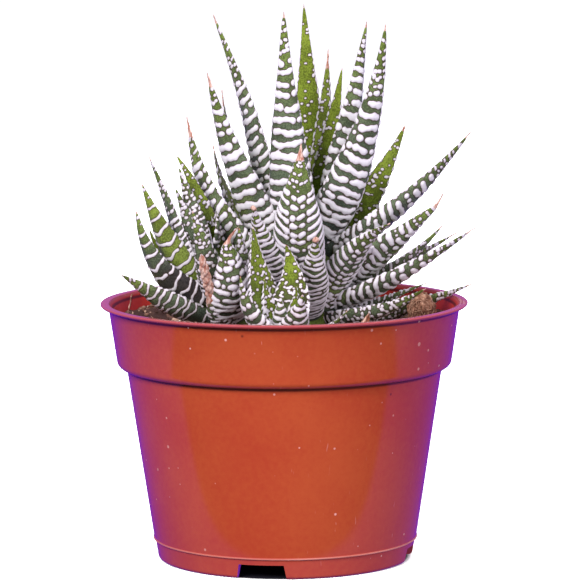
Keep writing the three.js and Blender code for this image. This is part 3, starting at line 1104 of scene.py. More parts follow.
    def _drains(self, shape: bmesh.types.BMesh) -> None:
        """Adds a solid for each drain hole.

        Args:
            shape: The mesh that the solids are added to.
        """
        middle = (self.floor_top + self.floor_underside) / 2.0
        depth = self.floor_top - self.floor_underside + 2.0 * self.cut_past
        places = [Vector((0.0, 0.0, middle))]
        for index in range(self.drain_count):
            turn = Matrix.Rotation(FULL_TURN * index / self.drain_count, 3, "Z")
            places.append(turn @ Vector((self.drain_circle_radius, 0.0, middle)))
        radius = self.drain_radius * MM
        for spot in places:
            bmesh.ops.create_cone(
                shape, cap_ends=True, segments=self.drain_segments, radius1=radius, radius2=radius,
                depth=depth * MM, matrix=Matrix.Translation(spot * MM),
            )

    def _cutter(self) -> Piece:
        """Gathers all notches and drain holes.

        Returns:
            One object of separate solids.
        """
        shape = bmesh.new()
        self._notches(shape)
        self._drains(shape)
        bmesh.ops.recalc_face_normals(shape, faces=shape.faces)
        mesh = bpy.data.meshes.new("pot_cutter")
        shape.to_mesh(mesh)
        shape.free()
        cutter = bpy.data.objects.new("pot_cutter", mesh)
        bpy.context.scene.collection.objects.link(cutter)
        return cutter

    def build(self) -> None:
        """Turns the wall, cuts its openings and dresses it."""
        shell = self._turned()
        cutter = self._cutter()
        cut = shell.modifiers.new("openings", "BOOLEAN")
        cut.object = cutter
        cut.solver = "EXACT"
        seen = shell.evaluated_get(bpy.context.evaluated_depsgraph_get())
        mesh = bpy.data.meshes.new_from_object(seen)
        shell.modifiers.clear()
        shell.data = mesh
        bpy.data.objects.remove(cutter)
        mesh.shade_smooth()
        mesh.set_sharp_from_angle(angle=math.radians(self.sharp_from))
        place(shell, self.finish, "pot_plastic", "pot")
        # The inner wall takes the copy of the plastic whose deeper red and darker dust are painted shade.
        shell.data.materials.append(self.inside)
        low = self.floor_top * MM
        high = (self.height - 0.5 * self.lip_thickness) * MM
        for face in mesh.polygons:
            centre, normal = face.center, face.normal
            inward = centre.x * normal.x + centre.y * normal.y < 0.0
            if inward and low < centre.z < high:
                face.material_index = 1


# -------- soil
@dataclass(frozen=True)
class SoilSurface:
    """The lumpy top of the soil, banked up at the wall and heaped at the left front (mm)."""

    level: float = 63.6
    crown: float = 0.9
    crown_radius: float = 47.9
    bank: float = 5.0
    bank_from: float = 34.0
    bank_to: float = 46.0
    heap: float = 4.2
    heap_spot: Pair = (-28.0, -38.0)
    heap_reach: Pair = (12.0, 7.0)
    lumps: float = 0.55

    def height(self, x: Array, y: Array) -> Array:
        """Returns the surface's height at places.

        Args:
            x: Places along x.
            y: Places along y.

        Returns:
            The heights.
        """
        crown = self.crown * (1.0 - (x * x + y * y) / self.crown_radius**2)
        coarse = np.sin(0.31 * x + 1.3) * np.cos(0.27 * y - 0.4)
        fine = np.sin(0.83 * x - 0.52 * y) * np.sin(0.61 * y + 0.9)
        bank = self.bank * smooth(np.hypot(x, y), self.bank_from, self.bank_to)
        aside = (x - self.heap_spot[0]) / self.heap_reach[0]
        along = (y - self.heap_spot[1]) / self.heap_reach[1]
        heap = self.heap * np.exp(-(aside**2) - along**2)
        return self.level + crown + bank + heap + self.lumps * (0.6 * coarse + 0.4 * fine)

    def at(self, x: float, y: float) -> float:
        """Returns the surface's height at one place."""
        return float(self.height(np.float64(x), np.float64(y)))


@dataclass
class Soil:
    """Peat compost: a granular bed, loose crumbs, perlite and root threads (mm)."""

    finish: Material
    pot: Pot
    surface: SoilSurface
    fit: float = 0.15
    foot: float = 8.0
    wall_levels: tuple[float, ...] = (8.0, 30.0, 54.5, 57.6, 66.2)
    edge_level: float = 68.0
    ring_step: float = 0.55
    middle: float = 0.3
    segments: int = 400
    grain_height: float = 0.8
    coarse_cells: float = 0.42
    fine_cells: float = 1.1
    grain_share: float = 0.75
    middle_kind: float = 0.3
    crumbs: int = 1250
    crumb_reach: float = 46.4
    crumb_radius: float = 0.35
    crumb_growth: float = 0.75
    perlite_share: float = 0.06
    perlite_kind: float = 1.2
    threads: int = 260
    thread_points: int = 7
    thread_reach: float = 43.5
    thread_limit: float = 46.5
    thread_end: float = 0.02
    seed: int = 7

    def build(self) -> None:
        """Lays the bed and scatters what lies on it."""
        self._bed()
        self._crumbs()
        self._threads()

    def _grain(self, x: float, y: float) -> tuple[float, float]:
        """Reads the crumbly surface at one place.

        Args:
            x: Place along x.
            y: Place along y.

        Returns:
            The extra height and the crumb's kind between 0 and 1.
        """
        coarse, coarse_places = noise.voronoi(Vector((x * self.coarse_cells, y * self.coarse_cells, 3.0)))
        fine, _ = noise.voronoi(Vector((x * self.fine_cells, y * self.fine_cells, 9.0)))
        height = 0.9 * (0.8 - coarse[0]) + 0.5 * (0.6 - fine[0])
        kind = noise.cell(coarse_places[0] * 1.7)
        return height * self.grain_height, kind

    def _bed(self) -> None:
        """Builds the bed as one closed body that follows the pot's inner wall."""
        edge = self.pot.inner_radius(self.edge_level) - self.fit
        radii = np.arange(edge, self.middle, -self.ring_step)
        turn = ring_angles(self.segments)
        x = radii[:, None] * np.cos(turn)
        y = radii[:, None] * np.sin(turn)
        z = self.surface.height(x, y)
        kinds = np.zeros_like(z)
        for row in range(z.shape[0]):
            for column in range(z.shape[1]):
                extra, kinds[row, column] = self._grain(x[row, column], y[row, column])
                z[row, column] += extra
        walls = []
        for level in self.wall_levels:
            radius = self.pot.inner_radius(level) - self.fit
            ring = [radius * np.cos(turn), radius * np.sin(turn), np.full_like(turn, level)]
            walls.append(np.stack(ring, axis=-1))
        bed = np.concatenate([np.stack(walls), np.stack([x, y, z], axis=-1)])
        ends = [(0.0, 0.0, self.foot), (0.0, 0.0, self.surface.at(0.0, 0.0))]
        points = np.concatenate([bed.reshape(-1, 3), ends])
        made = new_object("soil_bed", points, closed_faces(len(bed), self.segments))
        on_walls = np.zeros(len(walls) * self.segments)
        kept = np.concatenate([on_walls, kinds.ravel() * self.grain_share, [self.middle_kind] * 2])
        keep_values(made, "kind", kept)
        place(made, self.finish, "soil", "soil")

    def _crumbs(self) -> None:
        """Scatters uneven crumbs over the bed, a few of them white perlite."""
        draw = np.random.default_rng(self.seed)
        unit_points, unit_faces = ball(2)
        heap = Heap()
        for index in range(self.crumbs):
            reach = math.sqrt((index + 0.5) / self.crumbs) * self.crumb_reach
            angle = index * GOLDEN_ANGLE + draw.uniform(-0.3, 0.3)
            x = reach * math.cos(angle)
            y = reach * math.sin(angle)
            radius = self.crumb_radius + self.crumb_growth * draw.random() ** 3
            white = draw.random() < self.perlite_share
            shift = draw.uniform(0.0, 9.0, 3)
            lumps = 1.0 + 0.28 * np.sin(unit_points @ draw.normal(0.0, 2.4, (3, 3)) + shift).sum(axis=1) / 1.7
            scale = draw.uniform(0.65, 1.25, 3)
            points = unit_points * lumps[:, None] * scale * radius
            points += np.array([x, y, self.surface.at(x, y) + 0.45 * radius + 0.2])
            kind = self.perlite_kind if white else draw.random() ** 0.9 * 0.9
            heap.add(points, unit_faces, {"kind": kind})
        place(heap.object("soil_crumbs"), self.finish, "soil")

    def _threads(self) -> None:
        """Lays fine root threads and fibres among the crumbs."""
        draw = np.random.default_rng(self.seed + 1)
        heap = Heap()
        share = np.linspace(0.0, 1.0, self.thread_points)
        for _ in range(self.threads):
            reach = math.sqrt(draw.random()) * self.thread_reach
            angle = draw.uniform(0.0, FULL_TURN)
            heading = draw.uniform(0.0, FULL_TURN)
            length = draw.uniform(2.0, 6.5)
            bend = draw.uniform(-1.6, 1.6)
            course = heading + bend * share
            x = reach * math.cos(angle) + np.cumsum(np.cos(course)) * length / self.thread_points
            y = reach * math.sin(angle) + np.cumsum(np.sin(course)) * length / self.thread_points
            if np.hypot(x, y).max() > self.thread_limit:
                continue
            z = self.surface.height(x, y) + 0.55 + 0.5 * np.sin(share * math.pi) * draw.random()
            radii = np.full(self.thread_points, draw.uniform(0.07, 0.15))
            radii[[0, -1]] = self.thread_end
            points, faces = tube(np.stack([x, y, z], axis=-1), radii, 4)
            heap.add(points, faces, {"kind": draw.uniform(0.45, 0.9)})
        place(heap.object("soil_threads"), self.finish, "soil")


# -------- peat lump
@dataclass
class PeatLump:
    """A clod of fibrous peat that lies among the right-hand leaves (mm)."""

    finish: Material
    surface: SoilSurface
    spot: Pair = (39.2, 1.0)
    radius: float = 3.7
    stretch: float = 1.35
    flat: float = 0.8
    fit: float = 0.3
    waves: float = 0.12
    roughness: float = 0.55
    crust: float = 0.6
    middle_kind: float = 0.42
    fibres: int = 150
    fibre_points: int = 6
    fibre_end: float = 0.02
    seed: int = 21

    def _centre(self) -> Array:
        """Returns the clod's centre, which is as high as its flat underside asks."""
        height = self.surface.at(*self.spot) + self.fit
        return np.array([*self.spot, height + self.stretch * self.flat * self.radius])

    def build(self) -> None:
        """Builds the clod and its fibres."""
        self._clod()
        self._fibres()

    def _clod(self) -> None:
        """Builds the crusty clod, flat where it lies."""
        points, faces = ball(6)
        places = points * self.radius
        x, y, z = places.T
        wave = np.sin(1.9 * x + 1.0) * np.cos(1.7 * y) + 0.7 * np.sin(2.3 * z)
        places = places * (1.0 + self.waves * wave)[:, None]
        rough = np.array([noise.fractal(Vector(place * 0.9), 0.7, 2.1, 5) for place in places])
        crust = np.array([noise.voronoi(Vector(place * 1.3))[0][0] for place in places])
        places = places + points * (self.roughness * rough + self.crust * (0.5 - crust))[:, None]
        places[:, 2] = self.stretch * np.maximum(places[:, 2], -self.flat * self.radius)
        clod = new_object("peat_clod", places + self._centre(), faces)
        keep_values(clod, "kind", self.middle_kind + 0.5 * rough)
        place(clod, self.finish, "peat", "peat_lump")

    def _fibres(self) -> None:
        """Lays bent fibres round the clod's skin."""
        draw = np.random.default_rng(self.seed)
        heap = Heap()
        share = np.linspace(0.0, 1.0, self.fibre_points)[:, None]
        for _ in range(self.fibres):
            away = unit(draw.normal(0.0, 1.0, 3))
            away[2] = abs(away[2]) * 0.9
            start = away * self.radius * 0.92
            course = unit(np.cross(away, draw.normal(0.0, 1.0, 3)))
            length = draw.uniform(1.2, 3.2)
            path = start + course * length * share + away * 0.9 * np.sin(share * math.pi) * draw.random()
            skin = self.radius * draw.uniform(0.98, 1.08)
            path = path * (skin / np.linalg.norm(path, axis=1, keepdims=True))
            path[:, 2] *= self.stretch
            radii = np.full(self.fibre_points, draw.uniform(0.06, 0.13))
            radii[[0, -1]] = self.fibre_end
            points, faces = tube(path + self._centre(), radii, 4)
            heap.add(points, faces, {"kind": draw.uniform(0.5, 0.88)})
        place(heap.object("peat_fibres"), self.finish, "peat")


# -------- leaves
@dataclass(frozen=True)
class Core:
    """A rosette's short stem: its foot, its top and its radii by height (mm)."""

    foot: Triple
    top: Triple
    radii: Pairs
    focus_height: float = 66.0
    root_depth: float = 5.0

    def axis(self) -> Array:
        """Returns the direction that the stem grows in."""
        return unit(np.array(self.top) - np.array(self.foot))

    def radius(self, height: float) -> float:
        """Returns the stem's radius at a height above its foot."""
        heights, radii = zip(*self.radii)
        return float(np.interp(height, heights, radii))

    def at(self, height: float) -> Array:
        """Returns the point on the stem's axis at a height above its foot."""
        return np.array(self.foot) + self.axis() * height


@dataclass(frozen=True)
class RowSizes:
    """Sizes of the cross rows of warts (mm)."""

    spacing: float
    thickness: float
    breaks: float
    curl: float = 0.5
    chevron: float = 0.0
    keel_dots: float = 0.0
    wave: float = 0.25
    gap: float = 0.45
    dots_from: float = 0.82
    margin_bits: float = 0.0


class Warts(Enum):
    """How the white warts of a leaf's back stand, each kind with its own row sizes."""

    BOLD = RowSizes(3.6, 1.88, 0.2, wave=0.32, margin_bits=0.5)
    CURLED = RowSizes(3.4, 1.9, 0.5, curl=2.6, wave=0.35, dots_from=0.7, margin_bits=0.7)
    SPECKLED = RowSizes(2.0, 1.05, 3.0, dots_from=0.25)
    CHEVRON = RowSizes(2.4, 1.25, 0.5, curl=0.8, chevron=0.5, keel_dots=2.4, dots_from=0.74)
    DENSE = RowSizes(1.8, 0.9, 0.5, curl=0.8, chevron=0.15, dots_from=0.9)
    BROKEN = RowSizes(3.0, 1.6, 1.4, curl=1.8, chevron=0.2, dots_from=0.72, margin_bits=0.3)
    PEBBLED = RowSizes(2.2, 1.35, 3.0, chevron=0.2, dots_from=0.8)
    FINE = RowSizes(3.8, 0.8, 0.25, wave=0.45, chevron=0.15)
    THREAD = RowSizes(2.1, 0.55, 0.7, wave=0.4)
    DASHED = RowSizes(2.4, 0.95, 1.6, chevron=0.3, dots_from=0.5)


@dataclass(frozen=True)
class Wart:
    """One raised wart: its two ends round the back, its radius, its waves and its own shift (mm)."""

    low: float
    high: float
    radius: float
    phases: Array
    shift: float


@dataclass(frozen=True)
class WartRow:
    """One cross row: its place along the leaf, how far it reaches, its curl and its warts (mm)."""

    at: float
    reach: float
    curl: float
    warts: list[Wart]


@dataclass(frozen=True)
class Leaf:
    """One leaf: where it roots on the stem, where its tip is, how it bends and how it is marked (mm)."""

    height: float
    tip: Triple
    width: float
    bow: float
    sway: float
    roll: float = 0.0
    warts: Warts = Warts.BOLD
    # How light or dark the leaf is, partly its own colour and partly painted light and shade.
    tone: float = 0.0
    dots: float = 0.5
    midrib: bool = False
    dry: float = 0.03
    hook: Triple = (0.0, 0.0, 0.0)
    knob: float = 0.0
    widest: float = 0.65
    withered: bool = False


@dataclass
class LeafSkin:
    """Builds one leaf's skin with its warts standing up (mm)."""

    core: Core
    leaf: Leaf
    seed: int
    row_step: float = 0.385
    back_step: float = 0.43
    front_step: float = 0.58
    fewest_rows: int = 24
    fewest_back: int = 14
    fewest_front: int = 6
    back_girth: float = 1.35
    roundness: float = 2.3
    thinnest_half: float = 0.12
    thinnest_depth: float = 0.14
    thickness_share: float = 0.34
    edge_depth_share: float = 0.12
    hollow_share: float = 0.05
    base_share: float = 0.8
    taper: float = 1.2
    tip_fullness: float = 0.07
    tip_rounding: float = 0.03
    softness: float = 6.0
    root_reach: float = 0.7
    hook_curve: float = 1.6
    keel_share: float = 0.16
    keel_from: float = 0.25
    keel_to: float = 0.9
    keel_sharpness: float = 1.6
    wart_rise: float = 0.31
    wart_steepness: float = 7.5
    groove_depth: float = 0.05
    groove_reach: float = 0.2
    dried_crinkle: float = 0.18
    withered_crinkle: float = 0.3
    dried_width_loss: float = 0.3
    dried_depth_loss: float = 0.35
    strip_half_width: float = 1.35
    strip_depth: float = 0.55
    reach_of_marks: float = 1.5
    last_row: float = 0.965
    finest_row: float = 0.72
    dot_spacing: float = 1.4
    dot_chance: float = 0.85
    least_wart: float = 0.2
    row_nearness: float = 6.5
    tooth_spacing: float = 1.9
    tooth_nearness: float = 1.6
    tooth_columns: int = 3
    front_dot_nearness: float = 1.4
    midrib_spacing: float = 2.3
    draw: np.random.Generator = field(init=False)
    root: Array = field(init=False)
    control: Array = field(init=False)
    tip: Array = field(init=False)
    inward: Array = field(init=False)
    share: Array = field(init=False)
    centre: Array = field(init=False)
    ahead: Array = field(init=False)
    travelled: Array = field(init=False)
    length: float = field(init=False)
    body: Array = field(init=False)
    sideways: Array = field(init=False)
    depth: Array = field(init=False)
    on_back: int = field(init=False)

    def __post_init__(self) -> None:
        """Works out the leaf's course, its rows of points and its section."""
        self.draw = np.random.default_rng(self.seed)
        self._lay_course()
        self._lay_rows()
        self._lay_section()

    def _lay_course(self) -> None:
        """Works out the centre line's root, control point and tip, and which way is inward."""
        leaf, core = self.leaf, self.core
        axis = core.axis()
        station = core.at(leaf.height)
        self.tip = np.array(leaf.tip)
        outward = self.tip - station
        outward = unit(outward - axis * (outward @ axis))
        self.root = station + outward * core.radius(leaf.height) * self.root_reach
        chord = unit(self.tip - self.root)
        middle = (self.root + self.tip) / 2.0
        inward = core.at(core.focus_height) - middle
        inward = unit(inward - chord * (inward @ chord))
        side = np.cross(chord, inward)
        self.control = middle - inward * 2.0 * leaf.bow + side * 2.0 * leaf.sway
        turn = Matrix.Rotation(math.radians(leaf.roll), 3, Vector(chord))
        self.inward = np.array(turn @ Vector(inward))

    def _lay_rows(self) -> None:
        """Spaces rows of points along the centre line and measures each one."""
        rough = float(np.linalg.norm(self.control - self.root) + np.linalg.norm(self.tip - self.control))
        rows = max(self.fewest_rows, round(rough / self.row_step))
        self.share = np.linspace(0.0, 1.0, rows, endpoint=False)
        self.centre, self.ahead = self._course(self.share)
        steps = np.linalg.norm(np.diff(self.centre, axis=0), axis=1)
        self.travelled = np.concatenate([[0.0], np.cumsum(steps)])
        self.length = float(self.travelled[-1])
        self.body = self._width_share(1.0 - self.share)

    def _course(self, share: Array) -> tuple[Array, Array]:
        """Reads the centre line.

        Args:
            share: Places along it, from 0 at the root to 1 at the tip.

        Returns:
            Its points and its directions.
        """
        t = share[:, None]
        points = (1 - t) ** 2 * self.root + 2 * t * (1 - t) * self.control + t**2 * self.tip
        slope = 2 * (1 - t) * (self.control - self.root) + 2 * t * (self.tip - self.control)
        return points, unit(slope)

    def _width_share(self, from_tip: Array) -> Array:
        """Reads the leaf's blade shape.

        Args:
            from_tip: Places counted from 0 at the tip to 1 at the root.

        Returns:
            The share of the full width at each place.
        """
        widest = self.leaf.widest
        rise = (from_tip / widest) ** self.taper
        body = rise / (1.0 + rise**self.softness) ** (1.0 / self.softness)
        past = np.maximum(0.0, from_tip - widest) / (1.0 - widest)
        before = np.maximum(0.0, 1.0 - from_tip / widest)
        fuller = self.tip_fullness * (1.0 - np.exp(-from_tip / self.tip_rounding)) * before
        return body * (1.0 - (1.0 - self.base_share) * past**2) + fuller

    def _lay_section(self) -> None:
        """Works out the section's outline for a half width and a depth of one, the back first."""
        width = self.leaf.width
        back = max(self.fewest_back, round(self.back_girth * width / self.back_step))
        front = max(self.fewest_front, round(width / self.front_step))
        turn = np.linspace(0.0, math.pi, back + 1)
        power = 2.0 / self.roundness
        sideways = np.sign(np.cos(turn)) * np.abs(np.cos(turn)) ** power
        depth = -self.edge_depth_share - (1.0 - self.edge_depth_share) * np.sin(turn) ** power
        across = np.linspace(-1.0, 1.0, front + 1)[1:-1]
        hollow = self.hollow_share / self.thickness_share
        face = -self.edge_depth_share * np.abs(across) ** 3 - hollow * (1.0 - across**2)
        self.sideways = np.concatenate([sideways, across])
        self.depth = np.concatenate([depth, face])
        self.on_back = back + 1

    def _sizes(self) -> tuple[Array, Array, Array]:
        """Works out how wide and deep each row is; a withered part shrinks to a thin strip.

        Returns:
            Each row's half width, depth and dryness.
        """
        leaf, share = self.leaf, self.share
        half = np.maximum(self.thinnest_half, leaf.width * self.body / 2.0)
        deep = np.maximum(self.thinnest_depth, leaf.width * self.body * self.thickness_share)
        dryness = smooth(share, 1.0 - 1.25 * leaf.dry, 1.0 - 0.6 * leaf.dry)
        if leaf.withered:
            strip = self.strip_half_width * (1.0 - np.clip(share * 1.02, 0.0, 1.0) ** 14) ** 0.7
            deep = deep * (1.0 - dryness) + self.strip_depth * dryness * np.minimum(1.0, strip)
            half = half * (1.0 - dryness) + strip * dryness
        else:
            half = half * (1.0 - self.dried_width_loss * dryness)
            deep = deep * (1.0 - self.dried_depth_loss * dryness)
        knob = max(leaf.knob, 0.1)
        bead = leaf.knob * np.exp(-(((1.0 - share) * self.length - 1.2 * knob) / knob) ** 2)
        return half + bead, deep + bead, dryness

    def _lift(self, mark: Array, dryness: Array, wobble: Array) -> Array:
        """Raises the warts, sinks a groove round them and wrinkles what is dry.

        Args:
            mark: Millimetres to the nearest wart of each point.
            dryness: How dry each row is.
            wobble: The skin's slow unevenness.

        Returns:
            How far each point moves outward.
        """
        rise = self.wart_rise * np.minimum(1.0, 2.4 * self.body)[:, None] * (1.0 - dryness[:, None])
        lift = rise * (1.0 - np.exp(self.wart_steepness * np.minimum(mark, 0.0)))
        lift = lift - self.groove_depth * np.exp(-np.abs(mark) / self.groove_reach)
        wrinkle = self.withered_crinkle if self.leaf.withered else self.dried_crinkle
        crinkle = dryness[:, None] * self._crinkle() * wrinkle
        return lift + wobble * np.minimum(1.0, 1.5 * self.body)[:, None] + crinkle

    def build(self) -> tuple[Array, Faces, dict[str, Array]]:
        """Builds the leaf.

        Returns:
            Its points, its faces and the values stored on its points.
        """
        half, deep, dryness = self._sizes()
        on_front = np.arange(len(self.sideways)) >= self.on_back
        wobble = self._wobble()
        x = half[:, None] * self.sideways
        keel = self.keel_share * smooth(self.share, self.keel_from, self.keel_to)[:, None] * half[:, None]
        keel = keel * np.maximum(0.0, 1.0 - np.abs(self.sideways) * self.keel_sharpness) * ~on_front
        y = deep[:, None] * self.depth - keel
        outward_x, outward_y = self._normals(x, y)
        mark = self._marks(self._around(x, y), x)
        lift = self._lift(mark, dryness, wobble)
        x = x + outward_x * lift
        y = y + outward_y * lift
        hook = np.array(self.leaf.hook)
        end = np.clip((self.share - (1.0 - self.leaf.dry)) / max(self.leaf.dry, 1e-3), 0.0, 1.0)
        centre = self.centre + hook * (end**self.hook_curve)[:, None]
        face = unit(self.inward - self.ahead * (self.ahead @ self.inward)[:, None])
        across = np.cross(self.ahead, face)
        points = centre[:, None, :] + across[:, None, :] * x[:, :, None] + face[:, None, :] * y[:, :, None]
        points = np.concatenate([points.reshape(-1, 3), [centre[0], self.tip + hook]])
        stored = {
            "mark": (mark, self.reach_of_marks, self.reach_of_marks),
            "inner": (on_front.astype(float), 0.0, 0.0),
            "along": (self.share[:, None], 0.0, 1.0),
            "dry": (dryness[:, None], 0.0, 1.0),
            "tone": (self._tones_and_light()[:, None], 0.0, 0.0),
        }
        values = {
            name: np.concatenate([np.broadcast_to(grid, x.shape).ravel(), ends])
            for name, (grid, *ends) in stored.items()
        }
        return points, closed_faces(*x.shape), values

    def _tones_and_light(self) -> Array:
        """Works out how bright or dark the flesh is, partly the leaf's own colour and partly painted light
        and shade; a dark leaf is darkest at its base, painted shade among the leaves.

        Returns:
            How light or dark each row is.
        """
        # Painted light and shade, partly the leaf's own colour: a dark leaf fades to its plain flesh towards
        # the tip.
        tone = self.leaf.tone + self.draw.uniform(-0.12, 0.12)
        if tone < 0.0:
            return tone * smooth(self.share, 0.75, 0.35)
        return np.full_like(self.share, tone)

    def _wobble(self) -> Array:
        """Works out a slow unevenness of the skin.

        Returns:
            The unevenness for each point.
        """
        phase = self.draw.uniform(0.0, PHASE_RANGE, 3)
        first = np.sin(self.travelled / 5.1 + phase[0])[:, None] * np.cos(2.3 * self.sideways + phase[1])
        second = np.sin(self.travelled / 2.3 + phase[2])[:, None] * np.cos(3.7 * self.sideways + phase[0])
        return 0.12 * first + 0.05 * second

    def _crinkle(self) -> Array:
        """Works out the shrunken wrinkles of a dried part.

        Returns:
            The wrinkles for each point.
        """
        phase = self.draw.uniform(0.0, PHASE_RANGE, 4)
        slow = np.sin(2.1 * self.travelled + phase[0])[:, None] * np.sin(3.0 * self.sideways + phase[1])
        fine = np.sin(4.3 * self.travelled + phase[2])[:, None] * np.cos(6.0 * self.sideways + phase[3])
        return 0.7 * slow + 0.45 * fine

    @staticmethod
    def _normals(x: Array, y: Array) -> tuple[Array, Array]:
        """Works out the outward direction of each section point.

        Args:
            x: Sideways places.
            y: Inward places.

        Returns:
            The two parts of each direction.
        """
        step_x = np.roll(x, -1, axis=1) - np.roll(x, 1, axis=1)
        step_y = np.roll(y, -1, axis=1) - np.roll(y, 1, axis=1)
        size = np.maximum(np.hypot(step_x, step_y), TINY)
        return -step_y / size, step_x / size

    def _around(self, x: Array, y: Array) -> Array:
        """Measures round the back from its midline, positive towards the first margin.

        Args:
            x: Sideways places.
            y: Inward places.

        Returns:
            The distance of each back point.
        """
        steps = np.hypot(np.diff(x[:, :self.on_back], axis=1), np.diff(y[:, :self.on_back], axis=1))
        run = np.concatenate([np.zeros((len(x), 1)), np.cumsum(steps, axis=1)], axis=1)
        return run[:, -1:] / 2.0 - run

    def _near(self, spot: float, reach: float) -> Array:
        """Returns which rows of points lie within a reach of a place along the leaf."""
        return np.abs(self.travelled - spot) < reach

    def _marks(self, around: Array, x: Array) -> Array:
        """Measures from each point to the nearest wart's edge.

        Args:
            around: Distances round the back.
            x: Sideways places of all points.

        Returns:
            Millimetres to the nearest wart, negative inside it.
        """
        mark = np.full(x.shape, self.reach_of_marks)
        for row in self._rows(around[:, 0]):
            for wart in row.warts:
                self._press(mark[:, :self.on_back], around, row, wart)
        self._teeth(mark)
        self._front_dots(mark[:, self.on_back:], x[:, self.on_back:], float(np.abs(x).max()))
        return mark

    def _rows(self, margins: Array) -> list[WartRow]:
        """Lays out the cross rows of the back, finer and closer where the leaf is thin.

        Args:
            margins: Half the way round the back at each row of points.

        Returns:
            The rows, from the root to the tip.
        """
        sizes = self.leaf.warts.value
        rows = []
        at = self.draw.uniform(0.3, 1.0) * sizes.spacing
        while at < self.length * self.last_row:
            share = at / self.length
            reach = float(np.interp(at, self.travelled, margins))
            full = float(np.interp(at, self.travelled, self.body))
            finer = self.finest_row + 0.28 * float(smooth(np.float64(share), 0.12, 0.45))
            radius = finer * sizes.thickness / 2.0 * (0.72 + 0.28 * min(1.0, 1.5 * full))
            radius = radius * self.draw.uniform(0.9, 1.1)
            curl = sizes.curl * self.draw.uniform(0.6, 1.3)
            dotted = share > sizes.dots_from
            warts = self._dots(reach, radius) if dotted else self._bars(sizes, reach, radius)
            rows.append(WartRow(at, reach, curl, warts))
            closer = self.finest_row if dotted else finer
            step = sizes.spacing * self.draw.uniform(0.86, 1.14) * (0.62 + 0.38 * min(1.0, 1.6 * full))
            at += step * closer
        return rows

    def _dots(self, reach: float, radius: float) -> list[Wart]:
        """Scatters the dots of one row near the tip.

        Args:
            reach: Half the way round the back.
            radius: The row's wart radius.

        Returns:
            The dots.
        """
        draw = self.draw
        count = max(1, round(2.0 * reach / self.dot_spacing))
        centres = (np.arange(count) + 0.5) / count * 2.0 * reach - reach + draw.uniform(-0.3, 0.3, count)
        kept = centres[draw.random(count) < self.dot_chance]
        return [
            Wart(
                centre - draw.uniform(0.0, 0.35), centre + draw.uniform(0.0, 0.35),
                max(radius, 0.55) * draw.uniform(0.45, 0.75), draw.uniform(0.0, PHASE_RANGE, 4),
                draw.uniform(-0.5, 0.5),
            )
            for centre in kept
        ]

    def _bars(self, sizes: RowSizes, reach: float, radius: float) -> list[Wart]:
        """Breaks one cross row into long warts.

        Args:
            sizes: The row sizes.
            reach: Half the way round the back.
            radius: The row's wart radius.

        Returns:
            The warts that are thick enough to keep.
        """
        draw = self.draw
        low, high = -reach - 0.4, reach + 0.4
        cuts = []
        if reach > 1.5:
            cuts = sorted(draw.uniform(low + 1.0, high - 1.0, draw.poisson(sizes.breaks)).tolist())
        if reach > 3.0:
            sides = [side for side in (-1.0, 1.0) if draw.random() < sizes.margin_bits]
            cuts = sorted([*cuts, *(side * (reach - draw.uniform(0.9, 2.3)) for side in sides)])
        if sizes.keel_dots > 0.0 and reach > sizes.keel_dots:
            cuts = [-sizes.keel_dots, draw.uniform(-0.9, 0.9), sizes.keel_dots]
        bounds = [low, *cuts, high]
        warts = []
        phases = draw.uniform(0.0, PHASE_RANGE, 4)
        for start, stop in zip(bounds[:-1], bounds[1:]):
            first = start if start == low else start + radius + sizes.gap / 2.0
            last = stop if stop == high else stop - radius - sizes.gap / 2.0
            middle = (start + stop) / 2.0
            shift = draw.uniform(-0.35, 0.35) if cuts else 0.0
            size = min(radius, (stop - start) / 2.0 - 0.1) * draw.uniform(0.88, 1.08)
            warts.append(Wart(min(first, middle), max(last, middle), size, phases, shift))
        return [wart for wart in warts if wart.radius > self.least_wart]

    def _press(self, back: Array, around: Array, row: WartRow, wart: Wart) -> None:
        """Presses one wart into the back's field of distances.

        Args:
            back: The back's distances, changed in place.
            around: Distances round the back.
            row: The wart's row.
            wart: The wart.
        """
        sizes = self.leaf.warts.value
        near = self._near(row.at, self.row_nearness)
        phases = wart.phases
        v = np.clip(around[near], wart.low, wart.high)
        aside = np.abs(v)
        bend = row.curl * np.minimum(aside / max(row.reach, 0.5), 1.2) ** 4 + sizes.chevron * aside
        ripple = sizes.wave * (np.sin(0.62 * v + phases[0]) + 0.45 * np.sin(1.5 * v + phases[1])) + wart.shift
        thick = wart.radius * (1.0 + 0.17 * np.sin(1.3 * v + phases[2]) + 0.13 * np.sin(3.1 * v + phases[3]))
        off = self.travelled[near][:, None] - (row.at + bend + ripple)
        back[near] = np.minimum(back[near], np.hypot(off, around[near] - v) - thick)

    def _teeth(self, mark: Array) -> None:
        """Sets small white teeth on both margins.

        Args:
            mark: The distances, changed in place.
        """
        for edge in (0, self.on_back - 1):
            places = self.draw.uniform(0.0, 1.0) + np.arange(0.0, self.length, self.tooth_spacing)
            places = places + self.draw.uniform(-0.5, 0.5, len(places))
            for spot in places:
                radius = self.draw.uniform(0.3, 0.52)
                near = self._near(spot, self.tooth_nearness)
                for offset in range(-self.tooth_columns, self.tooth_columns + 1):
                    column = (edge + offset) % mark.shape[1]
                    distance = np.hypot(self.travelled[near] - spot, abs(offset) * self.back_step) - radius
                    mark[near, column] = np.minimum(mark[near, column], distance)

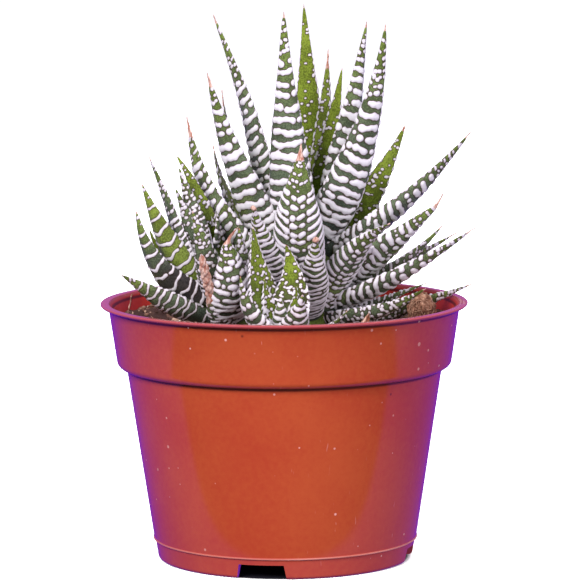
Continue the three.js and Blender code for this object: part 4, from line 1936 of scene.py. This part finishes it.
    def _front_dots(self, front: Array, places: Array, half: float) -> None:
        """Sprinkles small dots on the inner face, and a line of them along a midrib.

        Args:
            front: The inner face's distances, changed in place.
            places: Sideways places of the inner face's points.
            half: The leaf's greatest half width.
        """
        draw = self.draw
        spots = [
            (draw.uniform(0.05, 0.97) * self.length, draw.uniform(-half, half), draw.uniform(0.0, 0.22))
            for _ in range(round(self.leaf.dots * self.length))
        ]
        if self.leaf.midrib:
            line = np.arange(0.3 * self.length, 0.7 * self.length, self.midrib_spacing)
            spots += [(spot + draw.uniform(-0.4, 0.4), draw.uniform(-0.7, 0.7), 0.1) for spot in line]
        for spot, aside, wide in spots:
            radius = draw.uniform(0.2, 0.34)
            near = self._near(spot, self.front_dot_nearness)
            off = np.maximum(np.abs(places[near] - aside) - wide, 0.0)
            distance = np.hypot(self.travelled[near][:, None] - spot, off) - radius
            front[near] = np.minimum(front[near], distance)


@dataclass
class Rosette:
    """A rosette: its stem and its leaves, gathered into named pieces (mm)."""

    finish: Material
    core: Core
    node: str
    groups: dict[str, list[Leaf]]
    seed: int
    stem_rings: int = 26
    stem_sides: int = 28
    stem_cap: float = 0.9
    stem_cap_share: float = 0.35

    def build(self) -> None:
        """Builds each group of leaves as one piece; the first holds the stem."""
        number = self.seed
        for index, (name, leaves) in enumerate(self.groups.items()):
            heap = Heap()
            if index == 0:
                heap.add(*self._stem())
            for leaf in leaves:
                number += 1
                heap.add(*LeafSkin(self.core, leaf, number).build())
            place(heap.object(name), self.finish, "leaf", self.node)

    def _stem(self) -> tuple[Array, Faces, dict[str, float]]:
        """Builds the stem as a ringed solid with a drawn-in top.

        Returns:
            Its points and faces, and the values that the leaf finish reads.
        """
        core = self.core
        axis = core.axis()
        aside = unit(np.cross(axis, np.array([0.0, 1.0, 0.0])))
        above = np.cross(axis, aside)
        top = core.radii[-1][0]
        heights = np.linspace(-core.root_depth, top + self.stem_cap, self.stem_rings)
        turn = ring_angles(self.stem_sides)
        ring = np.cos(turn)[:, None] * aside + np.sin(turn)[:, None] * above
        rings = []
        for height in heights:
            radius = core.radius(height) * (1.0 if height <= top else self.stem_cap_share)
            rings.append(core.at(height) + ring * radius)
        points = np.concatenate([np.concatenate(rings), [core.at(heights[0]), core.at(heights[-1])]])
        plain = {"mark": 1.5, "inner": 0.7, "along": 0.3, "dry": 0.0, "tone": 0.0}
        return points, closed_faces(len(heights), len(turn)), plain


def wave_draw(number: int) -> float:
    """Returns a draw between 0 and 1 that is the same each time for the same number."""
    wave = math.sin(number * 127.1 + 311.7) * 43758.5453
    return wave - math.floor(wave)


@dataclass(frozen=True)
class FarSide:
    """Leaves of the far side, which step round the stem, an upper and a lower one in turn (mm, degrees)."""

    core: Core
    count: int
    start: float
    end: float
    heights: Pair
    lengths: Pair
    width: float
    leans: Pair = (36.0, 58.0)
    extra_lean: float = 6.0
    bow: float = 3.0
    kinds: tuple[Warts, ...] = (Warts.BOLD, Warts.BROKEN, Warts.CURLED)

    def leaves(self) -> list[Leaf]:
        """Steps round the stem; the lower leaves lean out further.

        Returns:
            The leaves.
        """
        leaves = []
        for index in range(self.count):
            row = index % 2
            azimuth = math.radians(self.start + (self.end - self.start) * index / (self.count - 1))
            lean = math.radians(self.leans[row] + self.extra_lean * wave_draw(index + self.count))
            outward = np.array([math.cos(azimuth), math.sin(azimuth), 0.0])
            tip = self.core.at(self.heights[row]) + outward * self.lengths[row] * math.sin(lean)
            tip[2] += self.lengths[row] * math.cos(lean)
            warts = self.kinds[index % len(self.kinds)]
            point = tuple(tip.tolist())
            leaves.append(Leaf(self.heights[row], point, self.width, self.bow, 0.0, warts=warts))
        return leaves


MOTHER = Core(foot=(6, 3, 65), top=(6, 4, 98), radii=((0, 8), (12, 9.5), (24, 7.5), (33, 3)))
LEFT = Core(foot=(-15, -9, 65), top=(-23, -9, 93), radii=((0, 6), (8, 6.5), (18, 5), (28, 2)))
FRONT = Core(foot=(-0.5, -34, 65), top=(-0.5, -34, 71), radii=((0, 4.5), (3, 4), (6, 1.5)))

# Each leaf: its height on the stem, its tip, its width, its bow and sway, and its roll in degrees.
UPRIGHT_LEAVES = [
    Leaf(24, (-20, 9, 155.5), 15.5, -2.5, 0, 24, warts=Warts.BROKEN, dots=1.6, dry=0.05, widest=0.72),
    Leaf(23, (0.35, -9, 157), 15, 2, 0, widest=0.75),
    Leaf(22, (6.1, 20, 157.5), 12, 1.5, 1, tone=0.05, dots=0.8, midrib=True, dry=0.02),
    Leaf(29, (13, 13, 145), 9, 0.5, 0, tone=0.7, dots=2.4, dry=0.12),
    Leaf(30, (16.9, 6, 140), 9, 0, 0, 60, tone=0.1, dots=1.2, dry=0.02),
    Leaf(26, (24, 9, 153), 13.5, 0.5, 0, -50),
    Leaf(27, (28.9, -9, 153.2), 13, 3.8, -0.5, -45, warts=Warts.CURLED, dry=0.03, widest=0.75),
    Leaf(20, (-21.4, -7, 140), 12.5, 2.0, 0.5, 30, dry=0.08),
    Leaf(26, (-17.5, 12, 133.5), 8, 4, 0, dry=0.1),
]

SPREADING_LEAVES = [
    Leaf(22, (35.2, 16, 122.8), 10.8, 2, 0.5, 50, dots=2.6, dry=0.05),
    Leaf(23, (53.5, 2, 122), 14, 2.2, 0, -20, warts=Warts.BROKEN, dots=2.0, dry=0.05),
    Leaf(17, (-27.4, 2, 126.7), 19.5, 4.5, 0.5, 10, warts=Warts.BROKEN, tone=0.2, dots=1.2, dry=0.12),
    Leaf(20, (-20.2, 18, 117), 9.5, 4, -1, 10, tone=0.3, dots=1.0, dry=0.06),
    Leaf(14, (5, -22, 121), 14.5, 7, 1, warts=Warts.CHEVRON, dry=0.1, widest=0.45),
    Leaf(9, (-8.5, -25, 104), 10, 1, 1, warts=Warts.DENSE, dry=0.04, knob=0.7, widest=0.42),
    Leaf(5, (9, -24, 95), 10, 0.5, 0, warts=Warts.DENSE, dry=0.05, knob=0.8, widest=0.5),
    Leaf(7, (30, -18, 98), 12, -4, 0.5, -10, warts=Warts.CHEVRON, dry=0.03, widest=0.5),
    Leaf(13, (45.8, -8, 103.8), 12.5, 0.2, -0.5, -35, warts=Warts.PEBBLED, dry=0.1, hook=(-0.5, 0, 2.0)),
    Leaf(12, (46.6, 10, 95.3), 11, 2.8, 0.5, -20, warts=Warts.DASHED, tone=-0.4, dry=0.08),
    Leaf(6, (50.4, 14, 91.8), 10.5, -1, 0, -20, warts=Warts.DASHED, dry=0.08),
    Leaf(8, (54.5, -10, 96), 10.5, 1.3, 0.5, -20, warts=Warts.BROKEN, dots=2.0, dry=0.08),
    Leaf(3, (54.5, 13, 76.9), 10, 1.5, 0, -40, warts=Warts.SPECKLED, dry=0.05),
    Leaf(3, (41.5, 22, 76), 8, 0, 0, -30, warts=Warts.DASHED, tone=-0.4),
    Leaf(4, (40, -14, 79), 9, 2, 0, -30, warts=Warts.SPECKLED, dots=2.0),
]

OFFSET_LEAVES = [
    Leaf(15, (-30.5, -5, 116.5), 9, -2.5, 3, 20, warts=Warts.SPECKLED, tone=-0.45, dots=3.0, dry=0.03),
    Leaf(25, (-29.5, -11, 113.5), 7, 0.5, -0.5, warts=Warts.SPECKLED, tone=-0.2),
    Leaf(23, (-30.5, -14, 108), 7, -0.5, 0, warts=Warts.SPECKLED, tone=-0.2),
    Leaf(17, (-38.2, -8, 116.6), 12, -1.2, 0, 15, warts=Warts.DASHED, dry=0.05),
    Leaf(14, (-40, -11, 109), 11, 1.2, -0.5, 42, warts=Warts.FINE, tone=0.8),
    Leaf(12, (-41.4, -15, 101.7), 14.5, 4.2, 0.5, 30, warts=Warts.FINE, tone=-0.75, widest=0.95),
    Leaf(9, (-38.5, 4, 94.5), 8, 3, -0.5, warts=Warts.FINE, tone=-0.4),
    Leaf(7, (-16.4, -27, 96.6), 15, 2.5, 0.5, warts=Warts.PEBBLED, dry=0.12, hook=(4.0, 0, 1.8), widest=0.6),
    Leaf(7, (-46.1, -18, 84), 11.5, 0, 0, 20, warts=Warts.THREAD, dry=0.03, widest=0.5),
    Leaf(3, (-23, -31, 91.5), 7, 2, 1, warts=Warts.DASHED, tone=-0.2, dry=0.6, withered=True),
    Leaf(12, (-25.5, -24, 102.5), 9, 2, 0, warts=Warts.SPECKLED, tone=-0.35),
    Leaf(10, (-12.5, -23, 97.5), 12, 2.5, 0.5, warts=Warts.SPECKLED, tone=-0.3, widest=0.75),
    Leaf(26, (-22, -5, 102), 5.5, 0.6, 0, warts=Warts.SPECKLED, dots=2.0),
    Leaf(26, (-19, -10, 101), 5, 0.6, 0, warts=Warts.SPECKLED, dots=2.0),
    Leaf(26, (-26, -7, 101), 5, 0.6, 0, warts=Warts.SPECKLED, dots=2.0),
]

FRONT_LEAVES = [
    Leaf(5, (-8.5, -26, 98), 14, 1.5, 0, warts=Warts.DENSE, tone=-0.22, dots=4.2, dry=0.02, widest=0.75),
    Leaf(6, (0.5, -25, 93), 12, 2, 2, warts=Warts.DENSE, tone=-0.55, dots=4.2, dry=0.02, widest=0.7),
    Leaf(4, (-12, -44, 86.5), 9, 2, 0.5, warts=Warts.BROKEN, dry=0.03),
    Leaf(4, (5, -46, 81.5), 10, 1, 0, warts=Warts.DENSE, dry=0.03),
    Leaf(5, (17.5, -38, 76), 9, 2, 0, warts=Warts.DASHED, dots=3.0),
    Leaf(5.5, (-5.5, -29, 84), 6.5, 0.8, 0, warts=Warts.DENSE, dots=3.0),
    Leaf(5.5, (3.5, -31, 82), 6, 0.8, 0, warts=Warts.DENSE, dots=3.0),
    Leaf(5.5, (-1, -38, 80), 5.5, 0.8, 0, warts=Warts.DENSE, dots=3.0),
]


@dataclass
class Plant:
    """The mother rosette and its two offsets."""

    finish: Material
    far_mother: FarSide = FarSide(MOTHER, 8, 56.0, 150.0, (17.0, 8.0), (44.0, 38.0), 12.0)
    far_left: FarSide = FarSide(LEFT, 4, 108.0, 150.0, (14.0, 6.0), (30.0, 22.0), 9.0)

    def build(self) -> None:
        """Builds the three rosettes."""
        mother = {
            "leaves_upright": UPRIGHT_LEAVES,
            "leaves_spreading": SPREADING_LEAVES,
            "leaves_far_side": self.far_mother.leaves(),
        }
        left = {"offset_left": [*OFFSET_LEAVES, *self.far_left.leaves()]}
        Rosette(self.finish, MOTHER, "rosette_main", mother, seed=100).build()
        Rosette(self.finish, LEFT, "rosette_left", left, seed=200).build()
        front = {"offset_front": FRONT_LEAVES}
        Rosette(self.finish, FRONT, "rosette_front", front, seed=300).build()


# -------- dried bits
@dataclass
class DriedBits:
    """A dry flower-stalk stub by the wall and a papery leaf husk at the rosette's foot (mm)."""

    finish: Material
    stalk: tuple[Triple, ...] = (
        (-43.8, 15.0, 61.5), (-44.6, 14.0, 65.0), (-44.9, 11.5, 69.0), (-44.2, 8.5, 72.5), (-43.5, 6.0, 75.2),
    )
    stalk_radius: float = 0.32
    stalk_taper: float = 0.45
    stalk_knots: float = 0.18
    stalk_wave: float = 0.12
    stalk_rings: int = 40
    stalk_sides: int = 10
    husk_foot: Triple = (21.0, -19.0, 65.4)
    husk_tip: Triple = (24.0, -17.5, 72.5)
    husk_width: float = 3.2
    husk_thickness: float = 0.22
    husk_hollow: float = 0.9
    husk_curl: float = 0.5
    husk_ripple: float = 0.35
    husk_rows: int = 36
    husk_columns: int = 19

    def build(self) -> None:
        """Builds both bits."""
        self._stalk()
        self._husk()

    def _stalk(self) -> None:
        """Stands the thin dry stalk in the soil."""
        knots = np.array(self.stalk)
        share = np.linspace(0.0, 1.0, self.stalk_rings)
        parts = np.linspace(0.0, 1.0, len(knots))
        fitted = [np.polynomial.Polynomial.fit(parts, knots[:, axis], 3)(share) for axis in range(3)]
        path = np.stack(fitted, axis=-1)
        path[:, 0] += self.stalk_wave * np.sin(share * 19.0)
        path[:, 1] += self.stalk_wave * np.sin(share * 27.0 + 1.0)
        radii = self.stalk_radius * (1.0 - self.stalk_taper * share)
        radii = radii * (1.0 + self.stalk_knots * np.sin(share * 41.0))
        points, faces = tube(path, radii, self.stalk_sides)
        place(new_object("dry_stalk", points, faces), self.finish, "leaf")

    def _husk(self) -> None:
        """Curls the papery husk of an old leaf against the rosette's foot."""
        foot, tip = np.array(self.husk_foot), np.array(self.husk_tip)
        share = np.linspace(0.0, 1.0, self.husk_rows)[:, None]
        across = np.linspace(-1.0, 1.0, self.husk_columns)[None, :]
        wide = self.husk_width / 2.0 * (1.0 - share**2.2) ** 0.8 * (0.75 + 0.25 * np.sin(3.0 * share))
        hollow = self.husk_hollow * wide * across**2
        curl = self.husk_curl * np.sin(3.0 * across + 5.0 * share)
        x = foot[0] + (tip[0] - foot[0]) * share + wide * across
        y = foot[1] + (tip[1] - foot[1]) * share + hollow - curl
        z = foot[2] + (tip[2] - foot[2]) * share + self.husk_ripple * np.sin(5.0 * across + 1.0) * share
        front = np.stack([x, y, z], axis=-1)
        back = front + np.array([0.0, self.husk_thickness, 0.0])
        sheet = np.concatenate([front, back[:, ::-1]], axis=1)
        rows, columns = sheet.shape[:2]
        last = (rows - 1) * columns
        ends = [tuple(reversed(range(columns))), tuple(range(last, last + columns))]
        made = new_object("papery_husk", sheet.reshape(-1, 3), [*ring_faces(rows, columns), *ends])
        place(made, self.finish, "leaf")


def main() -> None:
    """Builds the studio and every piece of the potted haworthia in order."""
    logging.basicConfig(level=logging.INFO, format="%(name)s: %(message)s")
    Studio().build()
    LOG.info("studio set up")
    effects = Effects()
    # The inside is a copy of the plastic in a deeper red with darker dust, painted shade of the hollow wall;
    # it is also rougher and less shiny.
    shaded_inside = PotFinish(
        "pot_plastic_inside", orange=rgb(196, 58, 44), deep=rgb(164, 44, 38), dust_and_highlight=rgb(170, 122, 106),
        roughness=0.4, sheen=0.08,
    )
    pot = Pot(PotFinish().material(effects), shaded_inside.material(effects))
    pot.build()
    surface = SoilSurface()
    Soil(SoilFinish("compost").material(effects), pot, surface).build()
    peat = SoilFinish("peat", dark=rgb(84, 56, 44), brown=rgb(138, 98, 80), tan=rgb(186, 146, 124))
    PeatLump(peat.material(effects), surface).build()
    Plant(LeafFinish().material(effects)).build()
    DriedBits(HuskFinish().material(effects)).build()
    LOG.info("potted haworthia built")


if __name__ == "__main__":
    main()
